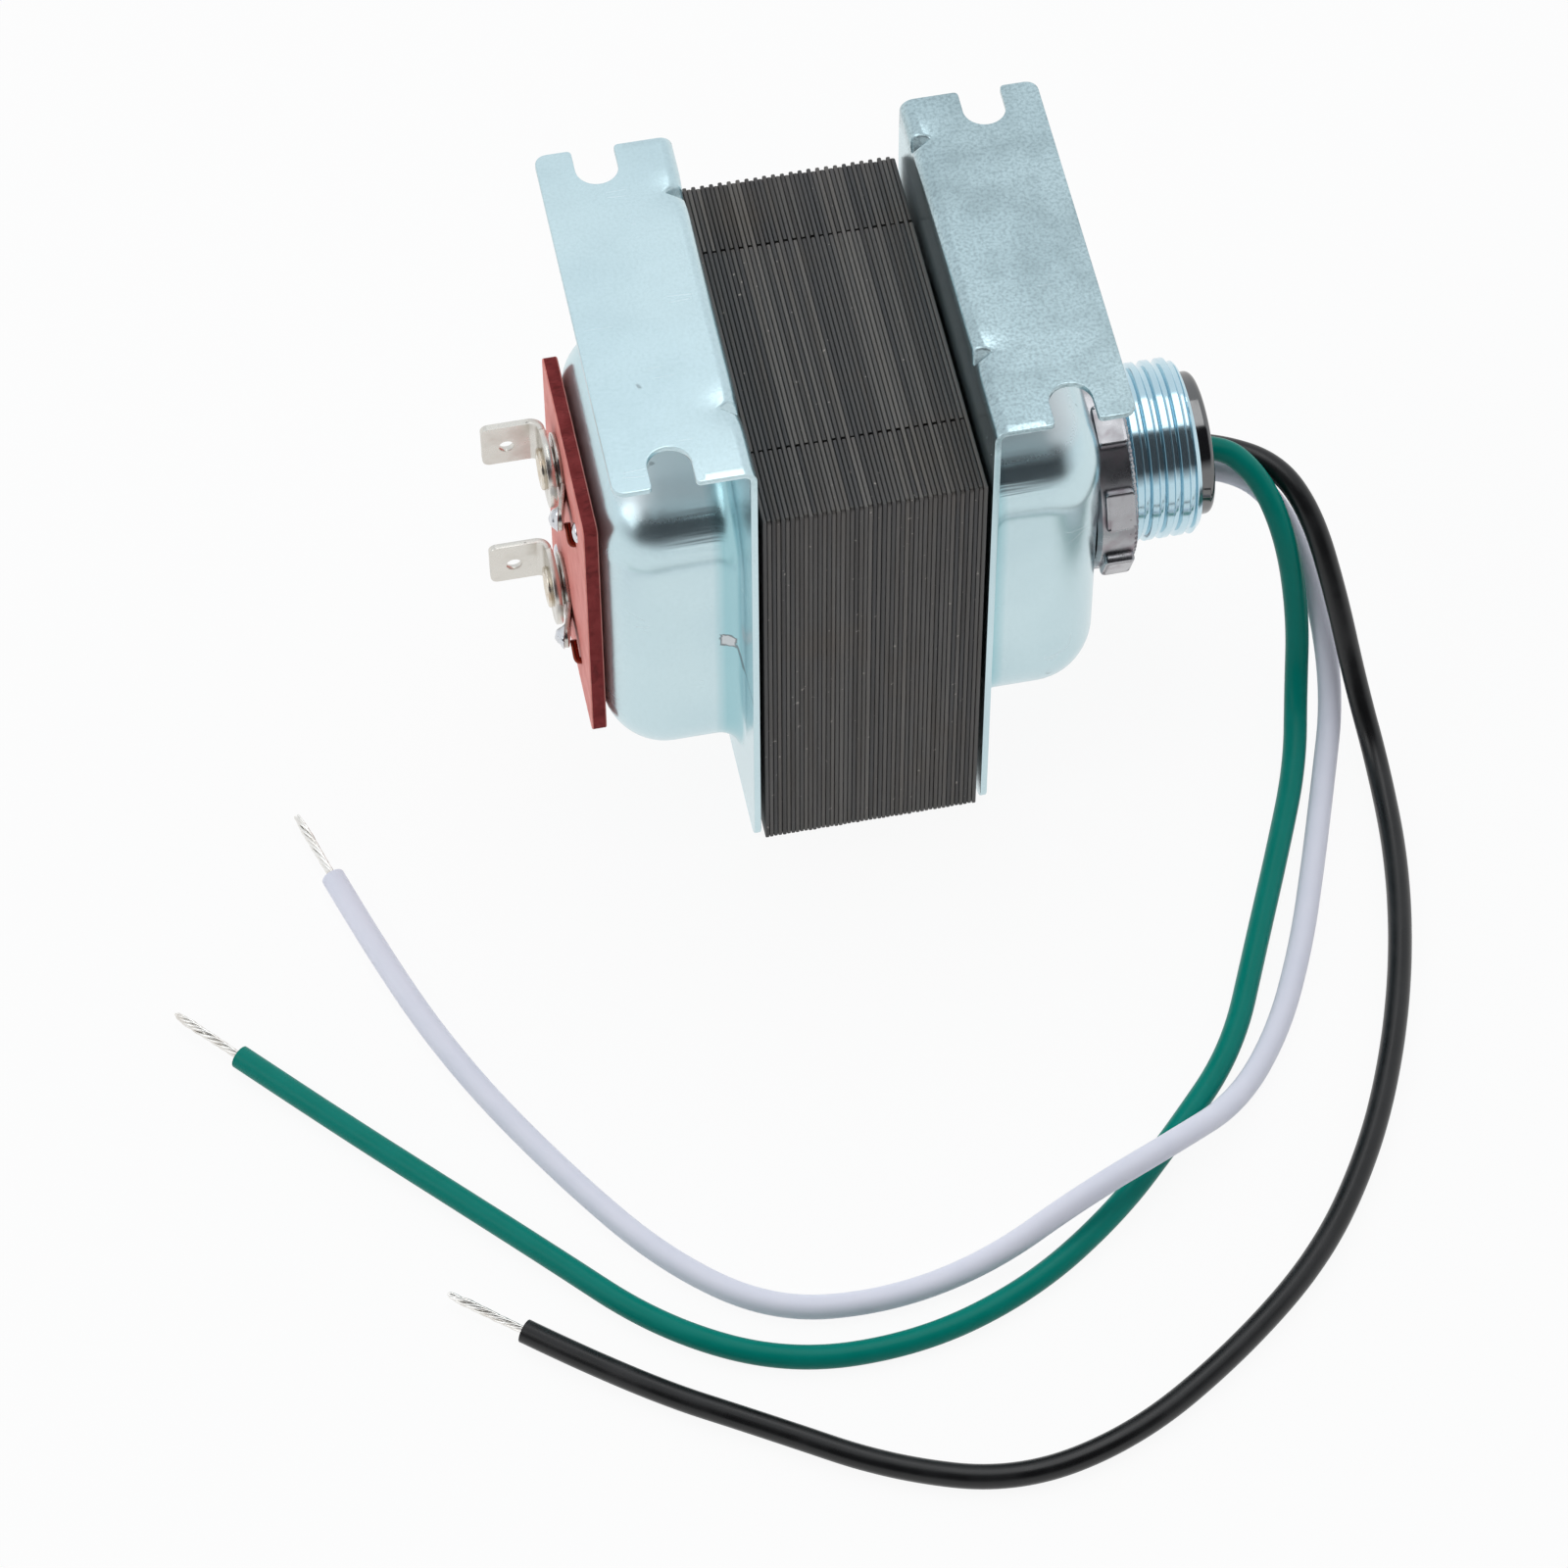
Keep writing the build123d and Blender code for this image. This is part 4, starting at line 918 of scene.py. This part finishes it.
# The lead wires
WIRE = 1.4
ROUTES = {
    "black": ((24.6, 0.9, 39), (24.6, 0.9, 31.7), (34.5, 1.4, 29.9), (40.5, 1.6, 28.2), (46.8, 1.1, 27.6),
              (53.2, -3.2, 27.6), (56.2, -9, 24.6), (57.9, -15.6, 17.4), (59.4, -22.3, 7.6),
              (60.4, -30.6, 1.9), (59.3, -43.5, WIRE), (56.3, -57, WIRE), (51.6, -70.4, WIRE),
              (45.5, -82.8, WIRE), (37, -94.6, WIRE), (25, -104.6, WIRE), (11.2, -113, WIRE),
              (-2.8, -116, WIRE), (-16, -111.6, WIRE), (-28, -103.9, WIRE), (-41.5, -95.6, WIRE),
              (-52.4, -86.4, WIRE)),
    "green": ((25.45, -7.9, 30), (25.45, -1.75, 30), (35, -1.9, 30), (46, -1.5, 31.6), (50.6, -5.2, 28.4),
              (53, -10.3, 22.3), (53.9, -14.8, 12.6), (52.9, -19.8, 4.6), (50.8, -28.4, 1.5),
              (45.9, -39.6, WIRE), (39.9, -52.6, WIRE), (33.8, -66, WIRE), (24.6, -75.8, WIRE),
              (15.6, -84.6, WIRE), (4, -92.4, WIRE), (-9.6, -96.8, WIRE), (-24.4, -96.4, WIRE),
              (-37.6, -89, WIRE), (-48.5, -76.8, WIRE), (-58.6, -65.8, WIRE), (-68.6, -54.9, WIRE),
              (-78.2, -44, WIRE)),
    "white": ((24.6, 0.9, 21), (24.6, 0.9, 26.8), (34.5, -0.2, 26.8), (40.5, -1.2, 26.6),
              (46.4, -1.7, 27.0), (51.8, -4.1, 24.6), (55.3, -8.6, 18.6), (57.1, -14.6, 11.2),
              (56.8, -22, 4.2), (53.6, -31, WIRE), (49.6, -42, WIRE), (45.2, -53.4, WIRE),
              (39.6, -64.6, WIRE), (32.6, -73.2, 1.8), (23.4, -80, 7), (11.6, -84.9, 7), (0, -88.4, 1.8),
              (-12.4, -90.8, WIRE), (-24.8, -89.4, WIRE), (-35.4, -80.6, WIRE), (-44.6, -67, WIRE),
              (-53, -52, WIRE), (-59.3, -36.4, WIRE), (-63.8, -21.3, WIRE)),
}
WIRES = {
    "black": (BLACK_VINYL, 0.248, (0.0444, 0.0013, 0.0279)),
    "green": (GREEN_VINYL, 0.254, (0.0444, -0.0015, 0.0309)),
    "white": (WHITE_VINYL, 0.263, (0.0444, -0.0014, 0.0268)),
}


def line_of(piece):
    """The points of a wire's own centre line."""
    bare = piece.copy()
    bare.data = piece.data.copy()
    bare.data.bevel_depth = 0
    scene.collection.objects.link(bare)
    mesh = bpy.data.meshes.new_from_object(bare.evaluated_get(bpy.context.evaluated_depsgraph_get()))
    points = [vert.co.copy() for vert in mesh.vertices]
    bpy.data.meshes.remove(mesh)
    bpy.data.objects.remove(bare)
    return points


def strands(name, line, replaced, seed):
    """The bare end: thin tinned strands twisted together, a little loose at the tip."""
    draw = random.Random(seed)
    tip = line[-1] / MM
    along = (line[-1] - line[-2]).normalized()
    across = along.cross(Vector((0, 0, 1))).normalized()
    over = across.cross(along)

    def about(middle, radius, turn):
        return middle + across * radius * cos(turn) + over * radius * sin(turn)

    bm = bmesh.new()
    steps, sides, thick, bare_length = 44, 8, 0.18, 10.4
    for ring, count, phase in ((0.0, 1, 0.0), (0.34, 6, 0.2)):
        for k in range(count):
            length = bare_length - draw.uniform(0, 0.9)
            loose = draw.uniform(0.0, 0.06)
            first_turn = 2 * pi * (k / count + phase) + draw.uniform(-0.08, 0.08)
            rows = []
            for step in range(steps + 1):
                share = step / steps
                radius = (ring + loose) * (0.8 + 0.3 * share) * (1 - max(0, share - 0.8) * 2.5)
                turn = first_turn + 2 * pi * 1.3 * share
                middle = about(tip + along * (length * share - 0.3), radius, turn)
                thin = thick * (1 if step < steps else 0.6)
                rows.append([bm.verts.new(about(middle, thin, 2 * pi * s / sides)) for s in range(sides)])
            bridge(bm, rows)
            bm.faces.new(rows[0])
            bm.faces.new(rows[-1])
    return finish_piece(name, bm, STRAND, [replaced], 60)


for index, (name, points) in enumerate(ROUTES.items()):
    mat, length, exit_place = WIRES[name]
    lead = tube("lead_" + name, points, WIRE, mat, smooth=16, sides=7)
    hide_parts(name + "_wire")
    bare_end = strands("strands_" + name, line_of(lead), name + "_wire_end", seed=21 + index)
    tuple(exit_place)

# Finishes of the solids that stay
KEPT = {
    "bobbin": BOBBIN, "primary_winding": COPPER, "secondary_winding": COPPER, "primary_tape": TAPE,
    "secondary_tape": TAPE, "ground_strand": STRAND, "ground_solder": SOLDER, "splice_black": SLEEVE,
    "splice_white": SLEEVE, "primary_lead_black": COPPER, "primary_lead_white": COPPER,
}
for node, mat in KEPT.items():
    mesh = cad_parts[node].data
    mesh.materials.clear()
    mesh.materials.append(mat)

# Stage and light
floor_mesh = bpy.data.meshes.new("floor")
half_floor, just_below = 3, -0.0001
corners = [(-half_floor, -half_floor, 0), (half_floor, -half_floor, 0), (half_floor, half_floor, 0),
           (-half_floor, half_floor, 0)]
floor_mesh.from_pydata(corners, [], [(0, 1, 2, 3)])
floor = bpy.data.objects.new("floor", floor_mesh)
floor.location = (0, 0, just_below)
scene.collection.objects.link(floor)
floor_material = bpy.data.materials.new("floor")
floor_material.use_nodes = True
floor_nodes = Nodes(floor_material.node_tree)
floor_material.node_tree.nodes.remove(floor_material.node_tree.nodes["Principled BSDF"])
paths = floor_nodes.add("LightPath")
seen = floor_nodes.maths("MAXIMUM", paths.outputs["Is Camera Ray"], paths.outputs["Is Glossy Ray"])
seen = floor_nodes.maths("MAXIMUM", seen, paths.outputs["Is Transmission Ray"])
blend = floor_nodes.add("MixShader")
floor_nodes.put(blend.inputs[0], floor_nodes.times(seen, 0.92))
floor_nodes.put(blend.inputs[1], floor_nodes.add("BsdfDiffuse", {"Color": (0.9, 0.9, 0.9, 1)}))
floor_nodes.put(blend.inputs[2], floor_nodes.add("Emission", {"Color": (1, 1, 1, 1), "Strength": 1.0}))
floor_nodes.put(floor_material.node_tree.nodes["Material Output"].inputs["Surface"], blend)
floor_mesh.materials.append(floor_material)

world = bpy.data.worlds.new("studio")
scene.world = world
world.use_nodes = True
sky = Nodes(world.node_tree)
aim = sky.add("SeparateXYZ", {"Vector": sky.add("TexCoord").outputs["Generated"]})
tent = sky.mix(sky.ramp(aim.outputs[2], 0.0, 0.45), (0.97, 0.98, 0.99, 1), (0.86, 0.89, 0.92, 1))
above_front = sky.maths("ARCTAN2", aim.outputs[2], sky.times(aim.outputs[1], -1.0))
sideways = sky.maths("ABSOLUTE", sky.maths("ADD", aim.outputs[0], 0.05))
shade = sky.times(sky.ramp(above_front, radians(4), radians(22)),
                  sky.fall(above_front, radians(72), radians(82)), sky.fall(sideways, 0.65, 0.98))
tent = sky.mix(shade, tent, (0.04, 0.04, 0.045, 1))
tent = sky.mix(sky.add("LightPath").outputs["Is Camera Ray"], tent, (1, 1, 1, 1))
background = world.node_tree.nodes["Background"]
sky.put(background.inputs["Color"], tent)
background.inputs["Strength"].default_value = 1.0


def softbox(name, place, aim, width, height, watts):
    """A rectangular studio lamp."""
    data = bpy.data.lights.new(name, "AREA")
    data.shape = "RECTANGLE"
    data.size, data.size_y, data.energy = width, height, watts
    lamp = bpy.data.objects.new(name, data)
    lamp.location = place
    lamp.rotation_euler = (Vector(aim) - Vector(place)).to_track_quat("-Z", "Y").to_euler()
    scene.collection.objects.link(lamp)


softbox("overhead", (0.14, 0.17, 0.93), (0.14, 0.17, 0.0), 0.30, 0.78, 1.1)
softbox("left", (-0.62, -0.10, 0.55), (0, 0, 0.03), 0.5, 0.4, 0.8)
